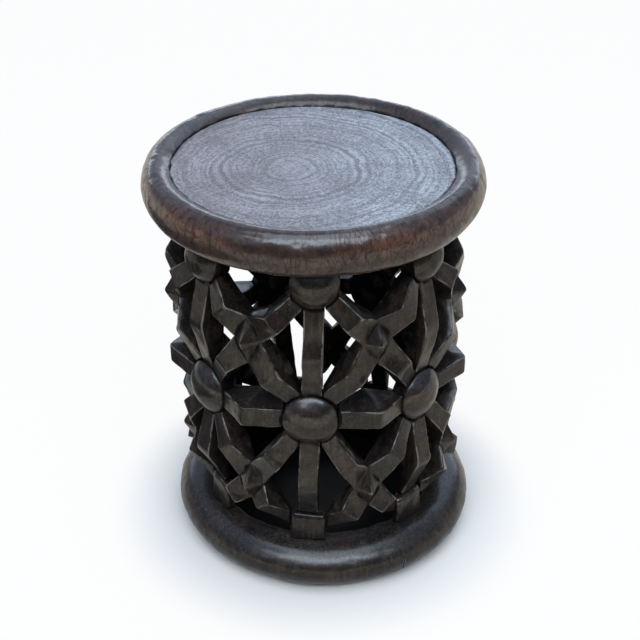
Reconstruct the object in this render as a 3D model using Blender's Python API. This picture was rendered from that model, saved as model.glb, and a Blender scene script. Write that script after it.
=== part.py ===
"""Round carved stool: a dished seat on an open lattice wall and a base ring.

Every carved member is a closed body of its own, with a thin seam to its neighbours. Lengths are in
metres and +Z is up. The origin lies on the floor, under the middle of the bounding box.
"""

import math

import bmesh
import bpy
from mathutils import Vector

# Overall sizes
SEAT_RADIUS = 0.170
TOTAL_HEIGHT = 0.425
COLUMNS = 7
SEAM = 0.0003

# Seat
SEAT_THICKNESS = 0.0452
RIM_WIDTH = 0.0304
RIM_BULGE = 0.0150
RECESS_DEPTH = 0.0082

# Base ring
BASE_RADIUS = 0.1618
BASE_HEIGHT = 0.0496
BASE_WIDTH = 0.0428
BASE_BULGE = 0.0303
BASE_ROUNDING = 0.0030

# How the hand-carved wall stands: the base lies to one side, and the columns turn as they rise
LEAN = 0.0105
TWIST = math.radians(8.5)
TURN = math.radians(-3.4)

# How far the wall stands in from the base ring's edge, and how deep and proud its members are
WALL_SETBACK = 0.0258
WALL_DEPTH = 0.0155
LINK_DEPTH = 0.0245
CROSS_DEPTH = 0.0085
POST_BULGE = 0.0120
UPPER_ARM_BULGE = 0.0155
LOWER_ARM_BULGE = 0.0120
LINK_BULGE = 0.0215
UPPER_STUD_BULGE = 0.0210
LOWER_STUD_BULGE = 0.0160
BOSS_STEP = 0.0020
BOSS_DOME = 0.0115

# Bosses, studs and feet
BOSS_RADIUS = 0.0277
UPPER_BOSS_RADIUS = 0.0235
UPPER_BOSS_DROP = 0.0222
STUD_HALF_WIDTH = 0.0155
STUD_HALF_HEIGHT = 0.0250
STUD_RISE = 0.0145
FOOT_WIDTH = 0.0364
FOOT_HEIGHT = 0.0310
FOOT_SETBACK = 0.0050
FOOT_BEVEL = 0.0045

# Struts
POST_WIDTH = 0.0197
ARM_WIDTH = 0.0205
ARM_ROOT_WIDTH = 0.0178
LINK_WIDTH = 0.0205
LINK_RISE = 0.0050
SPOKE_GAP = 0.0005

# Where things stand on the wall, as shares of the height between two neighbours
MID_SHARE = 0.475
UPPER_CROSS_SHARE = 0.575
LOWER_CROSS_SHARE = 0.300
ARM_KNEE_SHARE = 0.46
FOOT_KNEE_SHARE = 0.47
FOOT_ARM_SHARE = 0.52

# Facets
RING_SEGMENTS = 64
BULGE_STEPS = 10
BOSS_SEGMENTS = 20
DOME_STEPS = 4
ROOT_STEPS = 4

STEP = 2.0 * math.pi / COLUMNS
UNDERSIDE = TOTAL_HEIGHT - SEAT_THICKNESS
SEAT_FLOOR = TOTAL_HEIGHT - RECESS_DEPTH
RECESS_RADIUS = SEAT_RADIUS - RIM_WIDTH
BASE_BORE = BASE_RADIUS - BASE_WIDTH
SPOKE_END = BASE_RADIUS - WALL_SETBACK
WALL_INNER = SPOKE_END - WALL_DEPTH
LINK_INNER = SPOKE_END - LINK_DEPTH
CROSS_INNER = SPOKE_END - CROSS_DEPTH
POST_KNEE = SPOKE_END + POST_BULGE
UPPER_ARM_KNEE = SPOKE_END + UPPER_ARM_BULGE
LOWER_ARM_KNEE = SPOKE_END + LOWER_ARM_BULGE
LINK_KNEE = SPOKE_END + LINK_BULGE
UPPER_STUD_APEX = SPOKE_END + UPPER_STUD_BULGE
LOWER_STUD_APEX = SPOKE_END + LOWER_STUD_BULGE
BOSS_EDGE = SPOKE_END + BOSS_STEP
BOSS_APEX = BOSS_EDGE + BOSS_DOME
FOOT_RADIUS = SPOKE_END - FOOT_SETBACK
SEAT_X = -0.5 * max(0.0, LEAN + BASE_RADIUS - SEAT_RADIUS)
BASE_X = SEAT_X + LEAN
MID_HEIGHT = BASE_HEIGHT + MID_SHARE * (UNDERSIDE - BASE_HEIGHT)
UPPER_HEIGHT = UNDERSIDE - UPPER_BOSS_DROP
FOOT_BOTTOM = BASE_HEIGHT + SEAM
FOOT_TOP = FOOT_BOTTOM + FOOT_HEIGHT
UPPER_CROSS_HEIGHT = MID_HEIGHT + UPPER_CROSS_SHARE * (UPPER_HEIGHT - MID_HEIGHT)
LOWER_CROSS_HEIGHT = FOOT_TOP + LOWER_CROSS_SHARE * (MID_HEIGHT - FOOT_TOP)


class Spot:
    """A place on the leaning, twisted wall, with its own outward and sideways directions."""

    def __init__(self, column, height, radius=0.0):
        share = (height - BASE_HEIGHT) / (UNDERSIDE - BASE_HEIGHT)
        angle = column * STEP + TURN + TWIST * (share - MID_SHARE)
        self.column = column
        self.height = height
        self.radius = radius
        self.axis = Vector((BASE_X + (SEAT_X - BASE_X) * share, 0.0, height))
        self.outward = Vector((math.sin(angle), -math.cos(angle), 0.0))
        self.sideways = Vector((math.cos(angle), math.sin(angle), 0.0))

    def at(self, radius, across=0.0, up=0.0):
        """A point at a radius from the wall's axis, moved across and up."""
        return self.axis + self.outward * radius + self.sideways * across + Vector((0.0, 0.0, up))

    def bearing(self, other):
        """The direction of another spot seen from outside, as an angle from straight up."""
        way = other.at(SPOKE_END) - self.at(SPOKE_END)
        return math.atan2(way.dot(self.sideways), way.z)


def wrapped(angle):
    """The same angle between minus and plus half a turn."""
    return (angle + math.pi) % (2.0 * math.pi) - math.pi


def meeting_point(first, first_offset, second, second_offset):
    """Where two lines meet, each given by its bearing and its distance to the right of the boss."""
    a, b = math.cos(first), -math.sin(first)
    c, d = math.cos(second), -math.sin(second)
    scale = 1.0 / (a * d - b * c)
    return scale * (first_offset * d - second_offset * b), scale * (second_offset * a - first_offset * c)


def boss_row(boss, other, width, post=None):
    """A spoke's end: points around a boss, on the outer and the inner side.

    Where the spoke would run into the upright post beside it, its edge follows the post to the boss.
    """
    middle = boss.bearing(other)
    reach = boss.radius + SEAM
    half = math.asin(0.5 * width / reach)
    low, high = -half, half
    wedge = None
    if post is not None:
        line = boss.bearing(post)
        side = math.copysign(1.0, wrapped(middle - line))
        clear = 0.5 * POST_WIDTH + SPOKE_GAP
        edge = wrapped(line + side * math.asin(clear / reach) - middle)
        if side * (edge + side * half) > 0.0:
            wedge = meeting_point(middle, -side * 0.5 * width, line, side * clear)
            low, high = (edge, high) if side > 0.0 else (low, edge)
    places = []
    for step in range(ROOT_STEPS + 1):
        angle = middle + low + (high - low) * step / ROOT_STEPS
        places.append((reach * math.sin(angle), reach * math.cos(angle)))
    if wedge is not None:
        places.insert(0 if side > 0.0 else len(places), wedge)
    outer = [boss.at(SPOKE_END, across, up) for across, up in places]
    inner = [boss.at(WALL_INNER, across, up) for across, up in places]
    return outer, inner


def knee_row(start, end, share, radius, width, rise=0.0, back=WALL_INNER):
    """A spoke's knee: one point on each side, on the outer and the inner side."""
    column = start.column + share * (end.column - start.column)
    height = start.height + share * (end.height - start.height) + rise
    spot = Spot(column, height)
    way = end.at(SPOKE_END) - start.at(SPOKE_END)
    side = spot.outward.cross(way).normalized() * (-0.5 * width)
    outer = [spot.at(radius) - side, spot.at(radius) + side]
    inner = [spot.at(back) - side, spot.at(back) + side]
    return outer, inner


def run_faces(rows):
    """Faces along a run of rows: outer side, inner side and both flanks."""
    faces = []
    for (outer_a, inner_a), (outer_b, inner_b) in zip(rows, rows[1:]):
        faces.append(outer_a + outer_b[::-1])
        faces.append(inner_a + inner_b[::-1])
        faces.append([outer_a[0], outer_b[0], inner_b[0], inner_a[0]])
        faces.append([outer_a[-1], outer_b[-1], inner_b[-1], inner_a[-1]])
    return faces


def end_faces(row):
    """Faces that close a run at one row."""
    outer, inner = row
    return [[outer[i], outer[i + 1], inner[i + 1], inner[i]] for i in range(len(outer) - 1)]


def flipped(row):
    """The same row, read from its other side."""
    return row[0][::-1], row[1][::-1]


def add_body(name, faces, material):
    """Make one closed object out of a list of faces that share their corner points."""
    shape = bmesh.new()
    for face in faces:
        shape.faces.new([shape.verts.new(point) for point in face])
    bmesh.ops.remove_doubles(shape, verts=shape.verts[:], dist=1e-6)
    bmesh.ops.triangulate(shape, faces=shape.faces[:])
    bmesh.ops.recalc_face_normals(shape, faces=shape.faces[:])
    return finish_body(name, shape, material)


def finish_body(name, shape, material):
    """Turn a bmesh into a named object in the scene."""
    mesh = bpy.data.meshes.new(name)
    shape.to_mesh(mesh)
    shape.free()
    mesh.materials.append(material)
    body = bpy.data.objects.new(name, mesh)
    bpy.context.scene.collection.objects.link(body)
    return body


def turned_faces(profile, centre_x):
    """Faces of a ring whose closed profile of radius and height is turned about an upright axis."""
    loops = []
    for segment in range(RING_SEGMENTS):
        angle = 2.0 * math.pi * segment / RING_SEGMENTS
        cosine, sine = math.cos(angle), math.sin(angle)
        loops.append([Vector((centre_x + r * cosine, r * sine, z)) for r, z in profile])
    faces = []
    for index in range(RING_SEGMENTS):
        near, far = loops[index], loops[(index + 1) % RING_SEGMENTS]
        for i in range(len(profile)):
            j = (i + 1) % len(profile)
            faces.append([near[i], near[j], far[j], far[i]])
    return faces


def quarter(centre, reach, start, steps):
    """Points of a quarter ellipse from a start angle, turning to the left."""
    points = []
    for step in range(steps + 1):
        angle = start + 0.5 * math.pi * step / steps
        points.append((centre[0] + reach[0] * math.cos(angle), centre[1] + reach[1] * math.sin(angle)))
    return points


def seat_bodies(rim_wood, floor_wood):
    """The rolled rim and the flat floor inside it."""
    crest = SEAT_RADIUS - RIM_BULGE
    half = 0.5 * SEAT_THICKNESS
    middle = UNDERSIDE + half
    profile = [(RECESS_RADIUS, UNDERSIDE)]
    profile += quarter((crest, middle), (RIM_BULGE, half), -0.5 * math.pi, BULGE_STEPS // 2)
    profile += quarter((crest, middle), (RIM_BULGE, half), 0.0, BULGE_STEPS // 2)[1:]
    inward = (crest - RECESS_RADIUS, RECESS_DEPTH)
    profile += quarter((crest, SEAT_FLOOR), inward, 0.5 * math.pi, BULGE_STEPS // 2)[1:]
    add_body("seat_rim", turned_faces(profile, SEAT_X), rim_wood)
    radius = RECESS_RADIUS - SEAM
    loops = []
    for height in (UNDERSIDE, SEAT_FLOOR):
        loop = []
        for segment in range(RING_SEGMENTS):
            angle = 2.0 * math.pi * segment / RING_SEGMENTS
            loop.append(Vector((SEAT_X + radius * math.cos(angle), radius * math.sin(angle), height)))
        loops.append(loop)
    lower, upper = loops
    faces = [lower[::-1], upper]
    for i in range(RING_SEGMENTS):
        j = (i + 1) % RING_SEGMENTS
        faces.append([lower[i], lower[j], upper[j], upper[i]])
    add_body("seat_panel", faces, floor_wood)


def base_body(wood):
    """The fat ring on the floor."""
    crest = BASE_RADIUS - BASE_BULGE
    half = 0.5 * BASE_HEIGHT
    bore = BASE_BORE + BASE_ROUNDING
    corner = (BASE_ROUNDING, BASE_ROUNDING)
    profile = quarter((crest, half), (BASE_BULGE, half), -0.5 * math.pi, BULGE_STEPS // 2)
    profile += quarter((crest, half), (BASE_BULGE, half), 0.0, BULGE_STEPS // 2)[1:]
    profile += quarter((bore, BASE_HEIGHT - BASE_ROUNDING), corner, 0.5 * math.pi, 3)
    profile += quarter((bore, BASE_ROUNDING), corner, math.pi, 3)
    add_body("base_ring", turned_faces(profile, BASE_X), wood)


def boss_body(name, spot, wood, ceiling=None):
    """A drum with a domed face, cut flat at a ceiling where one is given."""
    levels = [(spot.radius, WALL_INNER)]
    for step in range(DOME_STEPS):
        angle = 0.5 * math.pi * step / DOME_STEPS
        height = BOSS_EDGE + (BOSS_APEX - BOSS_EDGE) * math.sin(angle)
        levels.append((spot.radius * math.cos(angle), height))
    loops = []
    for reach, level in levels:
        loop = []
        for segment in range(BOSS_SEGMENTS):
            angle = 2.0 * math.pi * segment / BOSS_SEGMENTS
            loop.append(spot.at(level, reach * math.cos(angle), reach * math.sin(angle)))
        loops.append(loop)
    apex = spot.at(BOSS_APEX)
    faces = [loops[0]]
    for i in range(BOSS_SEGMENTS):
        j = (i + 1) % BOSS_SEGMENTS
        for near, far in zip(loops, loops[1:]):
            faces.append([near[i], near[j], far[j], far[i]])
        faces.append([loops[-1][i], loops[-1][j], apex])
    shape = bmesh.new()
    for face in faces:
        shape.faces.new([shape.verts.new(point) for point in face])
    bmesh.ops.remove_doubles(shape, verts=shape.verts[:], dist=1e-6)
    if ceiling is not None:
        bmesh.ops.bisect_plane(
            shape,
            geom=shape.verts[:] + shape.edges[:] + shape.faces[:],
            dist=1e-6,
            plane_co=(0.0, 0.0, ceiling),
            plane_no=(0.0, 0.0, 1.0),
            clear_outer=True,
        )
        bmesh.ops.holes_fill(shape, edges=[edge for edge in shape.edges if edge.is_boundary], sides=0)
    bmesh.ops.triangulate(shape, faces=shape.faces[:])
    bmesh.ops.recalc_face_normals(shape, faces=shape.faces[:])
    finish_body(name, shape, wood)


def foot_body(name, spot, wood):
    """A block on the base ring with a bevelled top edge."""
    half = 0.5 * FOOT_WIDTH
    base = FOOT_BOTTOM - spot.height
    top = FOOT_TOP - spot.height
    profile = [
        (WALL_INNER, base),
        (FOOT_RADIUS, base),
        (FOOT_RADIUS, top - FOOT_BEVEL),
        (FOOT_RADIUS - FOOT_BEVEL, top),
        (WALL_INNER, top),
    ]
    left = [spot.at(radius, -half, up) for radius, up in profile]
    right = [spot.at(radius, half, up) for radius, up in profile]
    faces = [left, right[::-1]]
    for i in range(len(profile)):
        j = (i + 1) % len(profile)
        faces.append([left[i], right[i], right[j], left[j]])
    add_body(name, faces, wood)


def spoke_body(name, rows, wood):
    """A strut made of rows, closed at both ends."""
    add_body(name, run_faces(rows) + end_faces(rows[0]) + end_faces(rows[-1]), wood)


def foot_top_row(foot):
    """Where a lower post stands on its foot."""
    half = 0.5 * POST_WIDTH
    up = FOOT_TOP + SEAM - foot.height
    radius = FOOT_RADIUS - FOOT_BEVEL
    outer = [foot.at(radius, half, up), foot.at(radius, -half, up)]
    inner = [foot.at(WALL_INNER, half, up), foot.at(WALL_INNER, -half, up)]
    return outer, inner


def foot_side_row(foot, side):
    """Where a lower arm meets the flank of a foot, from its upper to its lower edge."""
    across = side * (0.5 * FOOT_WIDTH + SEAM)
    top = 0.5 * FOOT_HEIGHT
    low = top - FOOT_ARM_SHARE * FOOT_HEIGHT
    radius = FOOT_RADIUS - FOOT_BEVEL
    outer = [foot.at(radius, across, top), foot.at(radius, across, low)]
    inner = [foot.at(WALL_INNER, across, top), foot.at(WALL_INNER, across, low)]
    return outer, inner


def cross_body(name, centre, stud_apex, arms, wood):
    """Four arms that meet under a pyramid stud.

    The stud's foot is a diamond. Each arm leaves one edge of it, in the order upper right, lower right,
    lower left and upper left, and is given as its knee row and its end row.
    """
    width, height = STUD_HALF_WIDTH, STUD_HALF_HEIGHT
    places = [(0.0, height), (width, 0.0), (0.0, -height), (-width, 0.0)]
    outer = [centre.at(stud_apex - STUD_RISE, across, up) for across, up in places]
    inner = [centre.at(CROSS_INNER, across, up) for across, up in places]
    apex = centre.at(stud_apex)
    faces = [inner]
    for i, (knee, end) in enumerate(arms):
        j = (i + 1) % 4
        start = ([outer[i], outer[j]], [inner[i], inner[j]])
        faces.append([outer[i], outer[j], apex])
        faces += run_faces([start, knee, end])
        faces += end_faces(end)
    add_body(name, faces, wood)


def column_bodies(column, wood):
    """The pieces of one column, and the crosses and the link to the column on its right."""
    upper = Spot(column, UPPER_HEIGHT, UPPER_BOSS_RADIUS)
    middle = Spot(column, MID_HEIGHT, BOSS_RADIUS)
    foot = Spot(column, 0.5 * (FOOT_BOTTOM + FOOT_TOP))
    foot_top = Spot(column, FOOT_TOP)
    next_upper = Spot(column + 1, UPPER_HEIGHT, UPPER_BOSS_RADIUS)
    next_middle = Spot(column + 1, MID_HEIGHT, BOSS_RADIUS)
    next_foot = Spot(column + 1, foot.height)
    next_foot_top = Spot(column + 1, FOOT_TOP)
    boss_body(f"upper_boss_{column + 1}", upper, wood, UNDERSIDE - SEAM)
    boss_body(f"mid_boss_{column + 1}", middle, wood)
    foot_body(f"foot_{column + 1}", foot, wood)

    knee = knee_row(upper, middle, 0.5, POST_KNEE, POST_WIDTH)
    rows = [boss_row(upper, middle, POST_WIDTH), knee, flipped(boss_row(middle, upper, POST_WIDTH))]
    spoke_body(f"upper_post_{column + 1}", rows, wood)
    knee = knee_row(Spot(column, MID_HEIGHT - BOSS_RADIUS), foot_top, 0.5, POST_KNEE, POST_WIDTH)
    rows = [boss_row(middle, foot_top, POST_WIDTH), knee, foot_top_row(foot)]
    spoke_body(f"lower_post_{column + 1}", rows, wood)
    knee = knee_row(middle, next_middle, 0.5, LINK_KNEE, LINK_WIDTH, LINK_RISE, LINK_INNER)
    far_end = flipped(boss_row(next_middle, middle, LINK_WIDTH))
    rows = [boss_row(middle, next_middle, LINK_WIDTH), knee, far_end]
    spoke_body(f"link_{column + 1}", rows, wood)

    centre = Spot(column + 0.5, UPPER_CROSS_HEIGHT)
    arms = [
        arm_rows(centre, next_upper, next_middle, UPPER_ARM_KNEE),
        arm_rows(centre, next_middle, next_upper, UPPER_ARM_KNEE),
        arm_rows(centre, middle, upper, UPPER_ARM_KNEE),
        arm_rows(centre, upper, middle, UPPER_ARM_KNEE),
    ]
    cross_body(f"upper_cross_{column + 1}", centre, UPPER_STUD_APEX, arms, wood)
    centre = Spot(column + 0.5, LOWER_CROSS_HEIGHT)
    arms = [
        arm_rows(centre, next_middle, next_foot_top, LOWER_ARM_KNEE),
        foot_arm_rows(centre, next_foot, -1.0),
        foot_arm_rows(centre, foot, 1.0),
        arm_rows(centre, middle, foot_top, LOWER_ARM_KNEE),
    ]
    cross_body(f"lower_cross_{column + 1}", centre, LOWER_STUD_APEX, arms, wood)


def arm_rows(centre, boss, post, knee_radius):
    """The knee and the end of an arm that runs from a crossing to a boss, beside that boss's post."""
    end = flipped(boss_row(boss, centre, ARM_ROOT_WIDTH, post))
    span = (boss.at(SPOKE_END) - centre.at(SPOKE_END)).length
    near = 0.35 * (STUD_HALF_WIDTH + STUD_HALF_HEIGHT)
    far = span - boss.radius
    share = (near + ARM_KNEE_SHARE * (far - near)) / span
    return knee_row(centre, boss, share, knee_radius, ARM_WIDTH), end


def foot_arm_rows(centre, foot, side):
    """The knee and the end of an arm that runs from a crossing to the flank of a foot."""
    end = foot_side_row(foot, side)
    if side > 0.0:
        end = flipped(end)
    edge = Spot(foot.column + side * (0.5 * FOOT_WIDTH / FOOT_RADIUS) / STEP, foot.height)
    return knee_row(centre, edge, FOOT_KNEE_SHARE, LOWER_ARM_KNEE, ARM_WIDTH), end


def wood_material(name, colour, roughness):
    """A plain wood material."""
    material = bpy.data.materials.new(name)
    material.use_nodes = True
    shader = material.node_tree.nodes["Principled BSDF"]
    shader.inputs["Base Color"].default_value = (*colour, 1.0)
    shader.inputs["Roughness"].default_value = roughness
    shader.inputs["Metallic"].default_value = 0.0
    return material


def main():
    """Build the stool in an empty scene."""
    for item in list(bpy.data.objects):
        bpy.data.objects.remove(item)
    dark_wood = wood_material("dark_wood", (0.030, 0.021, 0.017), 0.42)
    end_grain = wood_material("end_grain_wood", (0.045, 0.037, 0.033), 0.50)
    seat_bodies(dark_wood, end_grain)
    base_body(dark_wood)
    for column in range(COLUMNS):
        column_bodies(column, dark_wood)


main()
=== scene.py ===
"""Carved lattice stool: the finished surfaces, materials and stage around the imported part.

Laid out as an add-on and run as a script. Lengths are in metres, +Z is up, and azimuths are counted from
the front, towards +X.
"""

import math

import bpy
import numpy as np
from bpy.props import FloatProperty, FloatVectorProperty, IntProperty, PointerProperty
from bpy.types import Operator, Panel, PropertyGroup
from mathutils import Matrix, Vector


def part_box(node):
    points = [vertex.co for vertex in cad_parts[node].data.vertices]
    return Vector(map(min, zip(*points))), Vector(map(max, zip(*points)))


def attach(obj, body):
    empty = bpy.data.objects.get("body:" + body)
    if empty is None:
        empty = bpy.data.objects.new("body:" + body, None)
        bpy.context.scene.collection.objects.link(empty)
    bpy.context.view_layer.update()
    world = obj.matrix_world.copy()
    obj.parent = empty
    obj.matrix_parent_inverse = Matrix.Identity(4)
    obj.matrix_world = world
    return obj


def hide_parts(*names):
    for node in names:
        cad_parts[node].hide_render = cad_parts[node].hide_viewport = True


bl_info = {
    "name": "Carved lattice stool",
    "version": (1, 0, 0),
    "blender": (4, 5, 0),
    "location": "View3D > Sidebar > Stool",
    "description": "Builds a carved wooden stool with a dished seat, a lattice wall and a base ring",
    "category": "Add Mesh",
}

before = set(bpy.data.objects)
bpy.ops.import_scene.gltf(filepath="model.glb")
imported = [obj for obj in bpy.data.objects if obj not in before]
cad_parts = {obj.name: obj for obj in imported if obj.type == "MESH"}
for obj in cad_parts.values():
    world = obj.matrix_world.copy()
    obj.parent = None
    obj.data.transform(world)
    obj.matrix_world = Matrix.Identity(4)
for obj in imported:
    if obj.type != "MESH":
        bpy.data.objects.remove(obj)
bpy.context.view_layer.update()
RIM_LOW, RIM_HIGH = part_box("seat_rim")
FLOOR_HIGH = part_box("seat_panel")[1]
BASE_LOW, BASE_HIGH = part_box("base_ring")
SEAT_X = 0.5 * (RIM_LOW.x + RIM_HIGH.x)
BASE_X = 0.5 * (BASE_LOW.x + BASE_HIGH.x)

TURN = 2.0 * math.pi
UP = np.array([0.0, 0.0, 1.0])
# The pith of the log, around which its rings grew
PITH = (-0.0235, -0.0118, 0.0)
# Facet counts of the strut rings: outer face, flank and rounded corner
FACE = 10
FLANK = 5
CORNER = 4
# Part of the run to the next ring that the curve of a knee takes up, on struts and on feet
STRUT_SOFTNESS = 0.095
FOOT_SOFTNESS = 0.30
# Rounding of the worn edges, and the largest tilt of a knee's face
ARRIS = 0.0017
KNEE_TILT = 0.0012
# Drying cracks of the base ring: azimuth in degrees, height, half length and width
CRACKS = ((31.4, 0.0195, 0.0125, 0.0011), (-118.0, 0.024, 0.014, 0.0009), (163.0, 0.021, 0.012, 0.0010))
CRACK_DEPTH = 0.0016
# Worn places of the base ring, glossier and with a faint painted sheen: azimuth and width, in radians
BASE_RUBS = ((-0.20, 0.60), (2.10, 0.55), (-2.30, 0.60))
# Multipliers that scatter the corners of a noise lattice, its seed and their sum
CORNER_SCATTER = np.array([73856093, 19349663, 83492791])
SEED_SCATTER = 40503
LAST_SCATTER = 1274126177


def length(name, default, words):
    """A length property."""
    return FloatProperty(name=name, description=words, default=default, unit="LENGTH", precision=4)


def degrees(name, default, words):
    """An angle property, with its default in degrees."""
    return FloatProperty(name=name, description=words, default=math.radians(default), subtype="ANGLE")


def fraction(name, default, words):
    """A property for a part of a length."""
    return FloatProperty(name=name, description=words, default=default, subtype="FACTOR")


def colour(name, default, words):
    """A colour property."""
    return FloatVectorProperty(name=name, description=words, default=default, subtype="COLOR",
                               min=0.0, max=1.0)


class StoolSizes(PropertyGroup):
    """Sizes of the stool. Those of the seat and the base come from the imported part."""

    columns: IntProperty(name="Columns", description="Columns of bosses around the wall", default=7, min=3)
    seat_radius: length("Seat radius", 0.5 * (RIM_HIGH.x - RIM_LOW.x), "Outer radius of the rim")
    total_height: length("Height", RIM_HIGH.z, "Floor to the rim's crest")
    underside: length("Underside", RIM_LOW.z, "Floor to the seat's underside")
    seat_floor: length("Seat floor", FLOOR_HIGH.z, "Floor to the flat floor of the seat")
    recess_radius: length("Recess radius", 0.1396, "Radius of the seat's flat floor")
    rim_bulge: length("Rim bulge", 0.0150, "How far the rim swells out past its crest")
    base_radius: length("Base radius", 0.5 * (BASE_HIGH.x - BASE_LOW.x), "Outer radius of the base ring")
    base_height: length("Base height", BASE_HIGH.z, "Height of the base ring")
    base_bore: length("Base bore", 0.1190, "Radius of the hole in the base ring")
    base_bulge: length("Base bulge", 0.0303, "How far the base ring swells out past its crest")
    base_rounding: length("Base rounding", 0.0030, "Rounding at the hole's edges")
    seam: length("Seam", 0.0003, "Gap between neighbouring pieces")
    wall_radius: length("Wall radius", 0.1360, "Where the struts meet the bosses")
    wall_depth: length("Wall depth", 0.0155, "How far the struts reach in from there")
    link_depth: length("Link depth", 0.0245, "How far the links' knees reach in from there")
    cross_depth: length("Crossing depth", 0.0085, "How far the crossings reach in")
    post_bulge: length("Post bulge", 0.0120, "How far the posts' knees stand out")
    upper_arm_bulge: length("Upper arm bulge", 0.0155, "How far the upper arms' knees stand out")
    lower_arm_bulge: length("Lower arm bulge", 0.0120, "How far the lower arms' knees stand out")
    link_bulge: length("Link bulge", 0.0215, "How far the links' knees stand out")
    upper_stud_bulge: length("Upper stud bulge", 0.0210, "How far the upper studs stand out")
    lower_stud_bulge: length("Lower stud bulge", 0.0160, "How far the lower studs stand out")
    boss_step: length("Boss step", 0.0020, "How far a boss's edge stands out past the struts")
    boss_dome: length("Boss dome", 0.0115, "Height of a boss's dome")
    boss_radius: length("Boss radius", 0.0277, "Radius of the middle bosses")
    upper_boss_radius: length("Upper boss radius", 0.0235, "Radius of the bosses under the seat")
    upper_boss_drop: length("Upper boss drop", 0.0222, "Underside to the upper bosses' middle")
    stud_half_width: length("Stud half width", 0.0155, "Half width of a stud's foot")
    stud_half_height: length("Stud half height", 0.0250, "Half height of a stud's foot")
    stud_rise: length("Stud rise", 0.0145, "Height of a stud's point above its foot")
    foot_width: length("Foot width", 0.0364, "Width of a foot")
    foot_height: length("Foot height", 0.0310, "Height of a foot")
    foot_setback: length("Foot setback", 0.0050, "How far a foot's face stands in")
    foot_bevel: length("Foot bevel", 0.0045, "Bevel at a foot's top")
    foot_rounding: length("Foot rounding", 0.0060, "Rounding of a foot's upright edges")
    post_width: length("Post width", 0.0197, "Width of the posts")
    arm_width: length("Arm width", 0.0205, "Width of the arms at their knees")
    arm_root_width: length("Arm root width", 0.0178, "Width of the arms at the bosses")
    link_width: length("Link width", 0.0205, "Height of the links")
    link_rise: length("Link rise", 0.0050, "How far the links' knees lie above the bosses")
    spoke_gap: length("Spoke gap", 0.0005, "Gap between an arm and the post beside it")
    arris: length("Arris", ARRIS, "Rounding of the worn edges")
    cut_depth: length("Cut depth", 0.00085, "Unevenness left by the carver's tools")
    twist: degrees("Twist", 8.5, "Turn of the wall from foot to top")
    turn: degrees("Turn", -3.4, "Azimuth of the first column at mid-height")
    mid_share: fraction("Middle share", 0.475, "Where the middle bosses stand on the wall")
    upper_cross_share: fraction("Upper crossing share", 0.575, "Crossing, middle to upper boss")
    lower_cross_share: fraction("Lower crossing share", 0.300, "Crossing, foot to middle boss")
    arm_knee_share: fraction("Arm knee share", 0.46, "Knee, stud to boss")
    foot_knee_share: fraction("Foot knee share", 0.47, "Knee, stud to foot")
    foot_arm_share: fraction("Foot arm share", 0.52, "Part of a foot's flank that an arm meets")


class StoolColours(PropertyGroup):
    """Colours of the wood and the stage."""

    ebony: colour("Ebony", (0.0070, 0.0050, 0.0042), "Darkest stained wood")
    umber: colour("Umber", (0.061, 0.0405, 0.0265), "Lighter streaks of the stained wood")
    russet: colour("Russet", (0.092, 0.037, 0.022), "Wood rubbed bare on the rim")
    # Pale worn wood; along edges it also stands in for glints, a painted highlight.
    pale_wear_and_glint: colour("Bare edge", (0.170, 0.148, 0.132), "Wood worn pale along edges")
    # Darkest tone: stains, cracks, dirt in creases, and painted shade on the wall's inner faces.
    crease: colour("Crease", (0.0020, 0.0017, 0.0016), "Dirt in creases and cracks")
    seat_dark: colour("Seat dark", (0.055, 0.047, 0.049), "Dark growth rings of the seat's floor")
    seat_pale: colour("Seat pale", (0.310, 0.280, 0.286), "Pale polished end grain of the seat's floor")
    # Painted sheen: the seat's floor turns to this bluer, paler tone towards +X, and a faint film of it is
    # painted on rubbed places of the wall and the base ring.
    painted_cool_sheen: colour("Seat cool", (0.400, 0.412, 0.440), "Bluish pale end grain on the more worn side")
    paper: colour("Stage", (0.68, 0.63, 0.57), "Floor of the stage")


def sizes():
    """The size properties of the scene."""
    return bpy.context.scene.stool_sizes


def colours():
    """The colour properties of the scene."""
    return bpy.context.scene.stool_colours


# Sums of waves, noises and bell curves


def smooth_noise(points, cell, seed):
    """Value noise: random numbers on a cubic lattice of a given cell, joined by smooth cubic steps."""
    scaled = points / cell + 0.37 * seed + 100.0
    low = np.floor(scaled).astype(np.int64)
    part = scaled - low
    part = part * part * (3.0 - 2.0 * part)
    total = np.zeros(points.shape[:-1])
    for corner in range(8):
        step = np.array([corner & 1, corner >> 1 & 1, corner >> 2 & 1])
        code = np.bitwise_xor.reduce((low + step) * CORNER_SCATTER, axis=-1) ^ seed * SEED_SCATTER
        code = ((code ^ (code >> 13)) * LAST_SCATTER) & 0x7FFFFFFF
        value = ((code >> 8) & 0xFFFF) / 32767.5 - 1.0
        total += value * np.prod(np.where(step, part, 1.0 - part), axis=-1)
    return total


def noises(points, *terms):
    """The sum of noises, each given by its strength, its cell and its seed."""
    return sum(strength * smooth_noise(points, cell, seed) for strength, cell, seed in terms)


def sines(angle, *terms):
    """The sum of sine waves, each given by its height, its count in a turn and its phase."""
    return sum(height * np.sin(count * angle + phase) for height, count, phase in terms)


def bells(values, *terms):
    """The sum of bell curves, each given by its height, its middle and its width."""
    return sum(height * np.exp(-(((values - middle) / width) ** 2)) for height, middle, width in terms)


def unit(values):
    """Values held between 0 and 1."""
    return np.clip(values, 0.0, 1.0)


def wrapped(angle):
    """The same angle between minus and plus half a turn."""
    return (angle + math.pi) % TURN - math.pi


def unevenness(name, count):
    """Random numbers between -1 and 1 that belong to one piece."""
    seed = sum((place + 1) * ord(letter) for place, letter in enumerate(name))
    return np.random.default_rng(seed).uniform(-1.0, 1.0, count)


# Meshes


def hand_cut(points, depth):
    """Shift every point by a smooth vector noise, broad cuts and finer ones, the same for all pieces."""
    shift = [noises(points, (1.0, 0.021, axis), (0.40, 0.0075, axis + 3)) for axis in (1, 2, 3)]
    return points + depth * np.stack(shift, axis=-1)


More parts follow.
